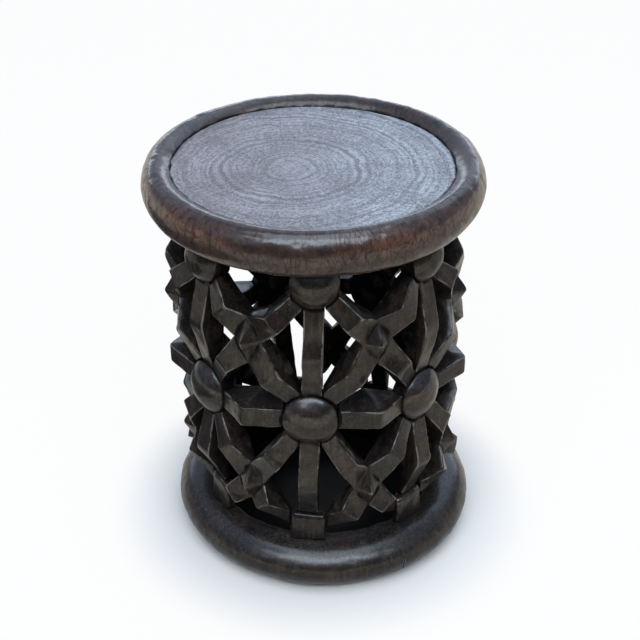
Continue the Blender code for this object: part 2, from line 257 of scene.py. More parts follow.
def grid_faces(rows, columns, wrap_rows=False, wrap_columns=False):
    """Quads between the points of a grid that is stored row by row."""
    i = np.arange(rows if wrap_rows else rows - 1)[:, None]
    j = np.arange(columns if wrap_columns else columns - 1)[None, :]
    near, far = i * columns, (i + 1) % rows * columns
    right = (j + 1) % columns
    return np.stack([near + j, near + right, far + right, far + j], axis=-1).reshape(-1, 4)


def joined(patches):
    """Put patches of points, quads and dark marks into one array of each."""
    points, faces, dirt_and_shade, start = [], [], [], 0
    for patch_points, patch_faces, patch_dirt in patches:
        flat = np.asarray(patch_points, float).reshape(-1, 3)
        points.append(flat)
        faces.append(patch_faces + start)
        dirt_and_shade.append(np.broadcast_to(patch_dirt, np.shape(patch_points)[:-1]).ravel())
        start += len(flat)
    return np.concatenate(points), np.concatenate(faces), np.concatenate(dirt_and_shade)


def welded(points, faces, marks):
    """Merge points on the same micrometre, so that patches share their edges; their largest marks stay."""
    keys = np.round(points * 1e6).astype(np.int64)
    _, first, place = np.unique(keys, axis=0, return_index=True, return_inverse=True)
    place = place.reshape(-1)
    kept = np.zeros((len(first), marks.shape[1]))
    np.maximum.at(kept, place, marks)
    return points[first], place[faces], kept


def quads_and_triangles(faces):
    """Split quads with a doubled corner off as triangles, and drop those with no area."""
    doubled = faces == np.roll(faces, -1, axis=1)
    count = doubled.sum(axis=1)
    thin = faces[count == 1]
    keep = np.ones(thin.shape, bool)
    keep[np.arange(len(thin)), doubled[count == 1].argmax(axis=1)] = False
    return faces[count == 0], thin[keep].reshape(-1, 3)


def all_triangles(quads, triangles):
    """Every face as triangles, with the quads cut in two."""
    return np.concatenate([quads[:, [0, 1, 2]], quads[:, [0, 2, 3]], triangles])


def signed_volume(points, quads, triangles):
    """Volume inside closed faces; negative where they point inwards."""
    a, b, c = points[all_triangles(quads, triangles).T]
    return float((a * np.cross(b, c)).sum() / 6.0)


def edge_values(points, quads, triangles):
    """Bending of the surface at each point: near 1 on worn edges, near -1 in creases, 0 on flats.

    It is twice the mean of rise over distance squared to the neighbours, times the edge rounding.
    """
    corners = all_triangles(quads, triangles).T
    a, b, c = points[corners]
    face_normal = np.cross(b - a, c - a)
    normal = np.zeros_like(points)
    for corner in corners:
        np.add.at(normal, corner, face_normal)
    normal /= np.maximum(np.linalg.norm(normal, axis=1, keepdims=True), 1e-12)
    sides = [np.stack([faces, np.roll(faces, -1, axis=1)], axis=-1).reshape(-1, 2)
             for faces in (quads, triangles)]
    pairs = np.unique(np.sort(np.concatenate(sides), axis=1), axis=0)
    one, two = np.concatenate([pairs, pairs[:, ::-1]]).T
    away = points[one] - points[two]
    gap = np.maximum((away * away).sum(axis=1), 1e-9)
    rise = (away * normal[one]).sum(axis=1) / gap
    count = np.maximum(np.bincount(one, minlength=len(points)), 1)
    bend = 2.0 * np.bincount(one, rise, len(points)) / count
    value = np.clip(bend * ARRIS, -1.0, 1.0)
    for _ in range(2):
        value = 0.55 * value + 0.45 * np.bincount(one, value[two], len(points)) / count
    return np.clip(1.3 * value, -1.0, 1.0)


def linked(name, data):
    """A new object in the scene."""
    made = bpy.data.objects.new(name, data)
    bpy.context.scene.collection.objects.link(made)
    return made


def add_piece(name, patches, material, cut=0.0, rub_and_sheen=0.0):
    """Weld patches into one closed mesh, point it outwards and put it in the place of its node."""
    points, faces, dirt_and_shade = joined(patches)
    marks = np.stack([dirt_and_shade, np.broadcast_to(np.ravel(rub_and_sheen), dirt_and_shade.shape)], axis=-1)
    points, faces, marks = welded(points, faces, marks)
    if cut:
        points = hand_cut(points, cut)
    quads, triangles = quads_and_triangles(faces)
    if signed_volume(points, quads, triangles) < 0.0:
        quads, triangles = quads[:, ::-1], triangles[:, ::-1]
    edge = edge_values(points, quads, triangles)
    edge = np.where(edge > 0.0, edge * (1.0 - marks[:, 0]), edge)
    mesh = bpy.data.meshes.new(name)
    mesh.vertices.add(len(points))
    mesh.vertices.foreach_set("co", points.astype(np.float32).ravel())
    corners = np.concatenate([quads.ravel(), triangles.ravel()]).astype(np.int32)
    mesh.loops.add(len(corners))
    mesh.loops.foreach_set("vertex_index", corners)
    mesh.polygons.add(len(quads) + len(triangles))
    starts = np.concatenate([np.arange(len(quads)) * 4, len(quads) * 4 + np.arange(len(triangles)) * 3])
    mesh.polygons.foreach_set("loop_start", starts.astype(np.int32))
    mesh.update(calc_edges=True)
    mesh.validate()
    mesh.shade_smooth()
    # The dark mark holds dirt at joints and in cracks, and painted shade on the wall's inner faces.
    for mark, values in (("edge", edge), ("dirt_and_shade", marks[:, 0]), ("rub_and_sheen", marks[:, 1])):
        mesh.attributes.new(mark, "FLOAT", "POINT").data.foreach_set("value", values.astype(np.float32))
    mesh.materials.append(material)
    piece = linked(f"{name}_carved", mesh)
    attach(piece, "root")
    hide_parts(name)


def add_wall_piece(name, patches, rub_and_sheen=0.0, cut_share=1.0):
    """Add a piece of the wall in its dark wood, cut by hand."""
    wood = painted("Dark carved wood", dark_wood)
    add_piece(name, patches, wood, cut_share * sizes().cut_depth, rub_and_sheen)


# Places on the wall


class Spot:
    """A place on the leaning, twisted wall, with its outward and sideways directions.

    The wall's axis runs straight from the base's middle to the seat's, and the azimuth grows with height.
    """

    def __init__(self, column, height, radius=0.0):
        size = sizes()
        share = (height - size.base_height) / (size.underside - size.base_height)
        angle = column * TURN / size.columns + size.turn + size.twist * (share - size.mid_share)
        self.column = column
        self.height = height
        self.radius = radius
        self.axis = np.array([BASE_X + (SEAT_X - BASE_X) * share, 0.0, height])
        self.outward = np.array([math.sin(angle), -math.cos(angle), 0.0])
        self.sideways = np.array([math.cos(angle), math.sin(angle), 0.0])

    def at(self, radius, across=0.0, up=0.0):
        """Points at radii from the wall's axis, moved across and up; numbers or arrays."""
        radius, across, up = np.broadcast_arrays(radius, across, up)
        moved = radius[..., None] * self.outward + across[..., None] * self.sideways
        return self.axis + moved + up[..., None] * UP

    def row(self, radius, across, up):
        """A row of points at a radius, and the same row at the back of the wall."""
        size = sizes()
        return self.at(radius, across, up), self.at(size.wall_radius - size.wall_depth, across, up)

    def way_to(self, other):
        """The vector to another spot on the wall."""
        wall = sizes().wall_radius
        return other.at(wall) - self.at(wall)

    def bearing(self, other):
        """The direction of another spot seen from outside, as an angle from straight up."""
        way = self.way_to(other)
        return math.atan2(way @ self.sideways, way[2])


def levels():
    """Heights of the lattice: middle bosses, upper bosses, foot bottom and top, upper and lower crossings."""
    size = sizes()
    middle = size.base_height + size.mid_share * (size.underside - size.base_height)
    upper = size.underside - size.upper_boss_drop
    foot_bottom = size.base_height + size.seam
    foot_top = foot_bottom + size.foot_height
    upper_cross = middle + size.upper_cross_share * (upper - middle)
    lower_cross = foot_top + size.lower_cross_share * (middle - foot_top)
    return middle, upper, foot_bottom, foot_top, upper_cross, lower_cross


def stations(column):
    """The upper boss, the middle boss, the foot and the foot's top of one column."""
    size = sizes()
    middle, upper, foot_bottom, foot_top = levels()[:4]
    return (Spot(column, upper, size.upper_boss_radius), Spot(column, middle, size.boss_radius),
            Spot(column, 0.5 * (foot_bottom + foot_top)), Spot(column, foot_top))


# Rows and rings of struts


def resampled(line, count, trim=0.0):
    """Points evenly spaced along a polyline, after trimming a length off both of its ends."""
    line = np.asarray(line, float)
    along = np.concatenate([[0.0], np.cumsum(np.linalg.norm(np.diff(line, axis=0), axis=1))])
    trim = min(trim, 0.35 * along[-1])
    places = np.linspace(trim, along[-1] - trim, count)
    return np.stack([np.interp(places, along, line[:, k]) for k in range(3)], axis=-1)


def parabola(start, corner, end, t):
    """Points of the parabola that starts and ends on two sides of a corner, at t from 0 to 1."""
    return (1.0 - t) ** 2 * start + 2.0 * t * (1.0 - t) * corner + t**2 * end


def closed_ring(sides, corners):
    """Join four trimmed sides with parabola corners into one ring of points."""
    t = np.linspace(0.0, 1.0, CORNER + 1)[1:-1, None]
    parts = []
    for k in range(4):
        parts.append(sides[k])
        parts.append(parabola(sides[k][-1], corners[k], sides[(k + 1) % 4][0], t))
    return np.concatenate(parts)


def strut_ring(row, rounding):
    """A strut's section: outer line, right flank, inner line and left flank, with rounded corners."""
    outer, inner = np.asarray(row[0], float), np.asarray(row[1], float)
    lines = [outer, [outer[-1], inner[-1]], inner[::-1], [inner[0], outer[0]]]
    counts = [FACE + 1, FLANK + 1, FACE + 1, FLANK + 1]
    sides = [resampled(line, count, rounding) for line, count in zip(lines, counts)]
    return closed_ring(sides, [outer[-1], inner[-1], inner[0], outer[0]])


def valley_ring(a, b, a_in, b_in, heart, heart_in, rounding):
    """The section where an arm leaves a crossing, between two corners of the stud's diamond foot.

    Its rounded corners lean towards the diamond's heart, so that neighbouring arms share them.
    """

    def towards(point, target):
        way = target - point
        return point + way * (rounding / np.linalg.norm(way))

    sides = [
        resampled([towards(a, heart), towards(b, heart)], FACE + 1),
        resampled([towards(b, b_in), towards(b_in, b)], FLANK + 1),
        resampled([towards(b_in, heart_in), towards(a_in, heart_in)], FACE + 1),
        resampled([towards(a_in, a), towards(a, a_in)], FLANK + 1),
    ]
    return closed_ring(sides, [b, b_in, a_in, a])


def run_rows(segments, softness):
    """Row places from key to key, closer together around the knees."""
    rows = [np.linspace(0.0, 1.0 - softness, 10)]
    for key in range(1, segments):
        rows.append(np.linspace(key - softness, key + softness, 7)[1:])
        short = softness if key < segments - 1 else 0.0
        rows.append(np.linspace(key + softness, key + 1.0 - short, 12)[1:])
    return np.concatenate(rows)


def soft_run(keys, softness):
    """Rings carried in straight lines from key ring to key ring, with a parabola at each inner key."""
    keys = np.stack(keys)
    last = len(keys) - 1
    rows = run_rows(last, softness)
    place = np.clip(np.floor(rows).astype(int), 0, last - 1)
    share = (rows - place)[:, None, None]
    run = keys[place] * (1.0 - share) + keys[place + 1] * share
    for key in range(1, last):
        near = np.abs(rows - key) < softness
        t = ((rows[near] - key + softness) / (2.0 * softness))[:, None, None]
        start = keys[key] + (keys[key - 1] - keys[key]) * softness
        end = keys[key] + (keys[key + 1] - keys[key]) * softness
        run[near] = parabola(start, keys[key], end, t)
    return run


def end_cap(ring):
    """A Coons patch over a ring: blends its outer and inner lines and its two sides."""
    side = FLANK + 2 * CORNER
    top = ring[: FACE + 1]
    right = ring[FACE : FACE + side + 1]
    bottom = ring[FACE + side : 2 * FACE + side + 1][::-1]
    left = np.concatenate([ring[2 * FACE + side :], ring[:1]])[::-1]
    u = np.linspace(0.0, 1.0, FACE + 1)[None, :, None]
    v = np.linspace(0.0, 1.0, side + 1)[:, None, None]
    across = left[:, None] * (1.0 - u) + right[:, None] * u
    along = top[None] * (1.0 - v) + bottom[None] * v
    plain = (top[0] * (1 - u) + top[-1] * u) * (1 - v) + (bottom[0] * (1 - u) + bottom[-1] * u) * v
    return across + along - plain, grid_faces(side + 1, FACE + 1), 1.0


def turned_over(patch):
    """The same patch with its faces the other way round."""
    return patch[0], patch[1][:, ::-1], patch[2]


def dirt_near(points, line, strength=1.0):
    """Dirt in the crease at one end of a run: it fades with the distance to the matching point there."""
    gap = np.linalg.norm(points - line, axis=-1)
    return 0.8 * strength * np.exp(-gap / 0.0014)


def painted_inside_shade(inside_shade):
    """Painted shade of a strut's section: none on its face, more and more along the flanks, most on its back.
    """
    most = 0.85
    flank = inside_shade * np.linspace(0.0, most, FLANK + 1)
    face, back = np.zeros(FACE + 1), np.full(FACE + 1, most)
    edge, back_edge = np.zeros(CORNER - 1), np.full(CORNER - 1, most)
    return np.concatenate([face, edge, flank, back_edge, back, back_edge, flank[::-1], edge])


def tube(run, start_dirt=1.0, inside_shade=1.0):
    """The skin of a run of rings, with dark joints at both ends and painted shade inside the wall."""
    dirt_and_shade = np.maximum(dirt_near(run, run[0], start_dirt), dirt_near(run, run[-1]))
    dirt_and_shade = np.maximum(dirt_and_shade, painted_inside_shade(inside_shade))
    return run, grid_faces(*run.shape[:2], wrap_columns=True), dirt_and_shade


def meeting_point(first, first_offset, second, second_offset):
    """Where two lines meet, each given by its bearing and its distance to the right of the boss."""
    lines = np.array([[math.cos(first), -math.sin(first)], [math.cos(second), -math.sin(second)]])
    return np.linalg.solve(lines, [first_offset, second_offset])


def boss_row(boss, other, width, post=None):
    """A strut's end around a boss: an arc, led along the side of the post next to it where they meet."""
    size = sizes()
    middle = boss.bearing(other)
    reach = boss.radius + size.seam
    half = math.asin(0.5 * width / reach)
    low, high = -half, half
    wedge = None
    if post is not None:
        line = boss.bearing(post)
        side = math.copysign(1.0, wrapped(middle - line))
        clear = 0.5 * size.post_width + size.spoke_gap
        edge = wrapped(line + side * math.asin(clear / reach) - middle)
        if side * (edge + side * half) > 0.0:
            wedge = meeting_point(middle, -side * 0.5 * width, line, side * clear)
            low, high = (edge, high) if side > 0.0 else (low, edge)
    angle = middle + np.linspace(low, high, 13)
    places = reach * np.stack([np.sin(angle), np.cos(angle)], axis=-1)
    if wedge is not None:
        places = np.insert(places, 0 if side > 0.0 else len(places), wedge, axis=0)
    return boss.row(size.wall_radius, *places.T)


def knee_row(start, end, share, bulge, width, rise=0.0, tilt=0.0, depth=None):
    """A strut's knee: its two edges, outer and inner. Tilt turns the outer face to one side."""
    size = sizes()
    spot = Spot(start.column + share * (end.column - start.column),
                start.height + share * (end.height - start.height) + rise)
    side = np.cross(spot.outward, start.way_to(end))
    side *= -0.5 * width / np.linalg.norm(side)
    out = spot.at(size.wall_radius + bulge)
    back = spot.at(size.wall_radius - (size.wall_depth if depth is None else depth))
    outer = np.stack([out - side - tilt * spot.outward, out + side + tilt * spot.outward])
    return outer, np.stack([back - side, back + side])


def flipped(row):
    """The same row, read from its other side."""
    return row[0][::-1], row[1][::-1]


def foot_row(foot, across, up):
    """A row of points on a foot's bevelled face, and the same row behind it."""
    size = sizes()
    return foot.row(size.wall_radius - size.foot_setback - size.foot_bevel, across, up)


def foot_top_row(foot):
    """Where a lower post stands on its foot."""
    size = sizes()
    return foot_row(foot, np.array([0.5, -0.5]) * size.post_width, 0.5 * size.foot_height + size.seam)


def foot_side_row(foot, side):
    """Where a lower arm meets the flank of a foot, from its upper to its lower edge."""
    size = sizes()
    up = np.array([0.5, 0.5 - size.foot_arm_share]) * size.foot_height
    return foot_row(foot, side * (0.5 * size.foot_width + size.seam), up)


def strut(name, rows, inside_shade=1.0):
    """A strut through its end rows and its knee, closed at both ends."""
    run = soft_run([strut_ring(row, sizes().arris) for row in rows], STRUT_SOFTNESS)
    add_wall_piece(name, [tube(run, 1.0, inside_shade), turned_over(end_cap(run[0])), end_cap(run[-1])])


def diamond_cap(boundary, heart, rise, way):
    """A blunt pyramid over a closed line: rings shrink towards the heart, rise and lose their corners.

    The lift is the rise times the fall of a hyperbola, so the point is rounded off below it.
    """
    blunt = 0.024
    shrink = np.array([1.0, 0.965, 0.91, 0.82, 0.72, 0.61, 0.50, 0.39, 0.28, 0.18, 0.10, 0.05, 0.0])
    lift = rise * (math.sqrt(1.0 + blunt) - np.sqrt(shrink**2 + blunt))
    eased = np.mean([np.roll(boundary, step, axis=0) for step in range(-4, 5)], axis=0)
    ease = 0.75 * np.sqrt(1.0 - shrink)[:, None, None]
    lines = boundary[None] * (1.0 - ease) + eased[None] * ease
    points = heart + shrink[:, None, None] * (lines - heart) + lift[:, None, None] * way
    return points, grid_faces(len(shrink), len(boundary), wrap_columns=True)


def crossing(name, centre, stud_bulge, arms):
    """Four arms around a diamond with a pyramid stud on it.

    Each arm is a run from one edge of the diamond to its knee and its end; the four share the diamond's
    corners. The arms go upper right, lower right, lower left, upper left.
    """
    size = sizes()
    loose = unevenness(name, 6)
    stray, lean = 0.0012, 0.0022
    width = size.stud_half_width * (1.0 + 0.07 * loose[0])
    height = size.stud_half_height * (1.0 + 0.08 * loose[1])
    across = np.array([0.0, width, 0.0, -width]) + stray * loose[2]
    up = np.array([height, 0.0, -height, 0.0]) + stray * loose[3]
    outer = centre.at(size.wall_radius + stud_bulge - size.stud_rise, across, up)
    inner = centre.at(size.wall_radius - size.cross_depth, across, up)
    heart, heart_in = outer.mean(axis=0), inner.mean(axis=0)
    patches, stud_line, back_line = [], [], []
    for k, rows in enumerate(arms):
        j = (k + 1) % 4
        start = valley_ring(outer[k], outer[j], inner[k], inner[j], heart, heart_in, size.arris)
        run = soft_run([start] + [strut_ring(row, size.arris) for row in rows], STRUT_SOFTNESS)
        patches += [tube(run, 0.5), end_cap(run[-1])]
        stud_line.append(start[:FACE])
        first = FACE + FLANK + 2 * CORNER
        back_line.append(start[first : first + FACE + 1][::-1][:FACE])
    point = heart + lean * loose[4] * centre.sideways + lean * loose[5] * UP
    stud, faces = diamond_cap(np.concatenate(stud_line), point, size.stud_rise, centre.outward)
    stud[0] = np.concatenate(stud_line)
    patches.append((stud, faces[:, ::-1], dirt_near(stud, stud[0], 0.5)))
    back, faces = diamond_cap(np.concatenate(back_line), heart_in, 0.0, centre.outward)
    # Painted shade on the back of the crossing.
    patches.append((back, faces, 0.8))
    add_wall_piece(name, patches)


def arm_rows(name, centre, boss, post, bulge):
    """The knee and the end of an arm that runs from a crossing to a boss, beside that boss's post."""
    size = sizes()
    loose = unevenness(name, 4)
    end = flipped(boss_row(boss, centre, size.arm_root_width, post))
    span = np.linalg.norm(centre.way_to(boss))
    near = 0.35 * (size.stud_half_width + size.stud_half_height)
    share = (near + (size.arm_knee_share + 0.05 * loose[0]) * (span - boss.radius - near)) / span
    width = size.arm_width * (1.0 + 0.06 * loose[1])
    return knee_row(centre, boss, share, bulge + 0.0010 * loose[2], width, tilt=KNEE_TILT * loose[3]), end


def foot_arm_rows(name, centre, foot, side):
    """The knee and the end of an arm that runs from a crossing to the flank of a foot."""
    size = sizes()
    loose = unevenness(name, 3)
    end = foot_side_row(foot, side)
    if side > 0.0:
        end = flipped(end)
    turn = side * 0.5 * size.foot_width / (size.wall_radius - size.foot_setback) / (TURN / size.columns)
    edge = Spot(foot.column + turn, foot.height)
    width = size.arm_width * (1.0 + 0.06 * loose[0])
    share = size.foot_knee_share + 0.04 * loose[1]
    return knee_row(centre, edge, share, size.lower_arm_bulge, width, tilt=KNEE_TILT * loose[2]), end


# Round pieces and feet


def quarter(centre, reach, start, steps):
    """Points of a quarter ellipse from a start angle, turning to the left, without its last one."""
    angle = start + np.linspace(0.0, 0.5 * math.pi, steps + 1)[:-1]
    return np.stack([centre[0] + reach[0] * np.cos(angle), centre[1] + reach[1] * np.sin(angle)], axis=-1)


def flat_line(start, end, steps):
    """Points along a straight line, without its last one."""
    return np.linspace(start, end, steps + 1)[:-1]


def around(radius, azimuth, height, centre_x):
    """Points on circles about an upright axis: azimuth from the front towards +X."""
    radius, azimuth, height = np.broadcast_arrays(radius, azimuth, height)
    return np.stack([centre_x + radius * np.sin(azimuth), -radius * np.cos(azimuth), height], axis=-1)


def ragged(azimuth):
    """Wander of the crease around the seat's floor: slow waves and small nicks of the chisel."""
    ring = around(0.14, azimuth, 0.0, 0.0)
    slow = sines(azimuth, (0.0007, 2, 0.6), (0.0004, 5, 2.0))
    return slow + noises(ring, (0.00045, 0.009, 31), (0.0003, 0.0042, 32))


def boss_piece(name, spot, ceiling=None):
    """A domed disc turned about the wall's outward direction: a drum, a worn edge and a dome.

    The dome falls with the distance from its middle to the power 2.4.
    """
    size = sizes()
    loose = unevenness(name, 5)
    lip = size.wall_radius + size.boss_step
    back = size.wall_radius - size.wall_depth
    worn, oval = 0.0012, 0.010
    dome = np.linspace(0.965, 0.0, 24)
    profile = np.concatenate([
        flat_line((0.0, back), (1.0, back), 8),
        flat_line((1.0, back), (1.0, lip - worn), 8),
        [(1.0, lip - worn), (0.996, lip - 0.4 * worn), (0.985, lip + 0.15 * worn)],
        np.stack([dome, lip + size.boss_dome * (1.0 - dome**2.4)], axis=-1),
    ])
    share, level = profile.T
    angle = np.linspace(0.0, TURN, 73)[:-1, None]
    waves = loose[0] * np.cos(2 * angle + 3 * loose[1]) + loose[2] * np.cos(3 * angle)
    reach = spot.radius * (1.0 - oval + oval * waves) * share
    across = reach * np.sin(angle)
    up = reach * np.cos(angle)
    if ceiling is not None:
        up = np.minimum(up, ceiling - spot.height)
    lean = 1.0 + 0.03 * (loose[3] * across + loose[4] * up) / spot.radius
    points = spot.at(back + (level - back) * lean, across, up)
    faces = grid_faces(len(angle), len(profile), wrap_rows=True)
    # Painted shade on the back and the sunken side of the boss, with a dark joint at its step.
    dirt_and_shade = np.exp(-np.maximum(level - size.wall_radius, 0.0) / 0.0005)
    # The dome's upper part is rubbed: glossier, with a faint painted sheen; the bosses under the seat get a
    # tenth of it.
    rub_and_sheen = unit((level - lip) / (0.12 * size.boss_dome))
    rub_and_sheen = rub_and_sheen * unit(0.10 + 1.1 * up / spot.radius) * (1.0 if ceiling is None else 0.1)
    add_wall_piece(name, [(points, faces, dirt_and_shade)], rub_and_sheen)


def foot_piece(name, spot):
    """A worn block: rounded rectangles stacked from the base ring to a bevelled, slightly smaller top."""
    size = sizes()
    loose = unevenness(name, 1)
    front = size.wall_radius - size.foot_setback
    half = 0.5 * size.foot_width
    low, high = -0.5 * size.foot_height - 0.0009, 0.5 * size.foot_height
    bevel = size.foot_bevel
    stages = [
        (half, front, low),
        (half * (0.985 + 0.01 * loose[0]), front - 0.0004, high - 1.5 * bevel),
        (half - 0.0018, front - 0.55 * bevel, high - 0.0016),
        (half - 0.0052, front - 1.7 * bevel, high - 0.0003),
    ]
    rows = [spot.row(face, np.array([-width, width]), up) for width, face, up in stages]
    run = soft_run([strut_ring(row, size.foot_rounding) for row in rows], FOOT_SOFTNESS)
    top, top_faces, _ = end_cap(run[-1])
    skin = (run, grid_faces(*run.shape[:2], wrap_columns=True), dirt_near(run, run[0]))
    add_wall_piece(name, [skin, turned_over(end_cap(run[0])), (top, top_faces, 0.0)], cut_share=0.8)


def rim_piece(name, material):
    """The rolled rim: a closed profile turned about the seat's axis, with hand-made waves along it.

    The profile is a flat underside, two quarter ellipses outside and a slope down to the recess, which falls
    with the distance from the crest to the power 1.8.
    """
    size = sizes()
    recess, underside, seat_floor = size.recess_radius, size.underside, size.seat_floor
    crest = size.seat_radius - size.rim_bulge
    half = 0.5 * (size.total_height - underside)
    middle, reach = (crest, underside + half), (size.rim_bulge, half)
    share = np.linspace(0.0, 1.0, 27)[:-1] ** 1.2
    slope = size.total_height - share**1.8 * (size.total_height - seat_floor)
    profile = np.concatenate([
        flat_line((recess, underside), (crest, underside), 8),
        quarter(middle, reach, -0.5 * math.pi, 24),
        quarter(middle, reach, 0.0, 30),
        np.stack([crest - share * (crest - recess), slope], axis=-1),
        flat_line((recess, seat_floor), (recess, underside), 6),
    ])
    radius, height = profile.T
    azimuth = np.linspace(0.0, TURN, 577)[:-1, None]
    outside = unit((radius - recess) / (crest - recess))
    above = unit((height - underside) / (size.total_height - underside))
    plain = around(radius, azimuth, height, SEAT_X)
    # Waves and lift are drawn in a little, so that the rim stays inside the part's box
    waves = sines(azimuth, (0.0007, 2, 1.1), (0.0005, 3, 2.7)) - 0.0009
    waves = waves + noises(plain, (0.0006, 0.055, 11), (0.0004, 0.017, 12))
    dents = 0.00022 * smooth_noise(plain * np.array([1.0, 1.0, 1.4]), 0.008, 13)
    dents = dents + 0.00009 * smooth_noise(plain, 0.0042, 15)
    lift = sines(azimuth, (0.0006, 1, 0.4), (0.0005, 3, 0.0)) - 0.0011 + noises(plain, (0.0004, 0.03, 14))
    made_radius = radius + outside * (waves + dents) + (1.0 - outside) * ragged(azimuth)
    points = around(made_radius, azimuth, height + above * outside * (lift + dents), SEAT_X)
    side = np.degrees(wrapped(azimuth))
    hands = bells(side, (1.0, -47.0, 20.0), (0.35, -80.0, 16.0), (0.80, 27.0, 16.0), (0.45, 62.0, 14.0))
    hands = hands + bells(np.abs(side), (0.55, 150.0, 18.0))
    belt = bells(above, (1.0, 0.70, 0.22)) * unit(2.5 * unit((made_radius - crest) / size.rim_bulge))
    dirt_and_shade = np.exp(-np.hypot(radius - recess, height - seat_floor) / 0.0016)
    faces = grid_faces(len(azimuth), len(profile), wrap_rows=True, wrap_columns=True)
    add_piece(name, [(points, faces, dirt_and_shade)], material, 0.0, hands * belt)


def floor_piece(name, material):
    """The seat's floor: a disc with chiselled relief that fades at its edge into a scribed groove.

    Its height is the sum of growth-ring ridges, small tool dents and a slight dish.
    """
    size = sizes()
    top = np.concatenate([np.linspace(0.0, 0.97, 118), [0.975, 0.981, 0.986, 0.990, 0.994, 0.997, 1.0]])
    azimuth = np.linspace(0.0, TURN, 481)[:-1, None]
    edge = size.recess_radius - size.seam + ragged(azimuth)
    radius = top * edge
    plain = around(radius, azimuth, 0.0, SEAT_X)
    bend = noises(plain, (0.0045, 0.05, 21), (0.0018, 0.016, 22))
    ring = np.linalg.norm((plain - PITH)[..., :2], axis=-1) + bend
    relief = sines(TURN * ring, (0.00010, 1.0 / 0.0052, 0.0), (0.00007, 1.0 / 0.0117, 0.0))
    relief = relief + noises(plain, (0.00022, 0.0085, 23), (0.00030, 0.030, 24))
    calm = unit((1.0 - top) / 0.03)
    groove = bells(top, (0.0007, 1.0, 0.008))
    dish = 0.0005 * (1.0 - top**2)
    height = size.seat_floor + calm * relief - groove - dish
    surface = around(radius, azimuth, height, SEAT_X)
    down = np.linspace(height[:, -1:], size.underside, 5, axis=1)[:, 1:, 0]
    wall = around(edge, azimuth, down, SEAT_X)
    back = around(np.linspace(1.0, 0.0, 12)[1:] * edge, azimuth, size.underside, SEAT_X)
    points = np.concatenate([surface, wall, back], axis=1)
    hidden = np.ones(points.shape[1] - len(top))
    dirt_and_shade = np.concatenate([np.exp(-(1.0 - top) * size.recess_radius / 0.0012), hidden])
    faces = grid_faces(*points.shape[:2], wrap_rows=True)
    add_piece(name, [(points, faces, dirt_and_shade)], material)


def base_piece(name, material):
    """The base ring: a closed profile turned about the base's axis, with waves, dents and drying cracks.

    Each crack is a narrow groove along the profile; the columns of the grid draw together at it.
    """
    size = sizes()
    crest = size.base_radius - size.base_bulge
    half = 0.5 * size.base_height
    bore = size.base_bore + size.base_rounding
    low, high = size.base_rounding, size.base_height - size.base_rounding
    swell, corner = (size.base_bulge, half), (size.base_rounding, size.base_rounding)
    profile = np.concatenate([
        flat_line((bore, 0.0), (crest, 0.0), 6),
        quarter((crest, half), swell, -0.5 * math.pi, 26),
        quarter((crest, half), swell, 0.0, 30),
        flat_line((crest, size.base_height), (bore, size.base_height), 10),
        quarter((bore, high), corner, 0.5 * math.pi, 8),
        flat_line((size.base_bore, high), (size.base_bore, low), 8),
        quarter((bore, low), corner, math.pi, 8),
    ])
    radius, height = profile.T
    extra = [math.radians(place) + np.linspace(-0.016, 0.016, 17) for place, _, _, _ in CRACKS]
    azimuth = np.concatenate([np.linspace(-math.pi, math.pi, 481)[:-1]] + extra)
    azimuth = np.unique(np.round(azimuth, 7))[:, None]
    plain = around(radius, azimuth, height, BASE_X)
    outside = unit((radius - bore) / (crest - bore))
    above = unit(height / size.base_height)
    # Waves are drawn in a little, so that the ring stays inside the part's box
    waves = sines(azimuth, (0.0008, 2, 0.3), (0.0005, 3, 1.0)) - 0.0011
    waves = waves + noises(plain, (0.0008, 0.05, 41), (0.0005, 0.016, 42), (0.00022, 0.0065, 43))
    nicks = noises(plain, (0.0013, 0.017, 46), (0.0009, 0.0065, 47)) + 0.0004
    away = outside * unit(above * (1.0 - above) * 6.0) * waves + (1.0 - outside) * nicks
    lift = -0.0003 * above * unit(outside + 0.3) * (1.0 + smooth_noise(plain, 0.02, 44))
    # Darker on the inner wall of the bore.
    dirt_and_shade = 0.9 * unit((bore - radius) / size.base_rounding)
    wander = 0.0010 * smooth_noise(np.stack([height * 3.0, height, height], axis=-1), 0.010, 45)
    for place, middle, half_length, width in CRACKS:
        offset = (azimuth - math.radians(place)) * size.base_radius + wander
        window = unit(1.0 - ((height - middle) / half_length) ** 2) * (radius > crest)
        groove = window * bells(offset, (1.0, 0.0, 0.6 * width))
        away = away - CRACK_DEPTH * groove
        dirt_and_shade = np.maximum(dirt_and_shade, groove)
    points = around(radius + away, azimuth, height + lift, BASE_X)
    faces = grid_faces(len(azimuth), len(profile), wrap_rows=True, wrap_columns=True)
    often = 0.25 + sum(bells(wrapped(azimuth - place), (0.75, 0.0, width)) for place, width in BASE_RUBS)
    rub_and_sheen = unit((above - 0.55) / 0.25) * unit(2.0 * outside - 0.6) * unit(often)
    add_piece(name, [(points, faces, dirt_and_shade)], material, 0.0, rub_and_sheen)


# Shader nodes


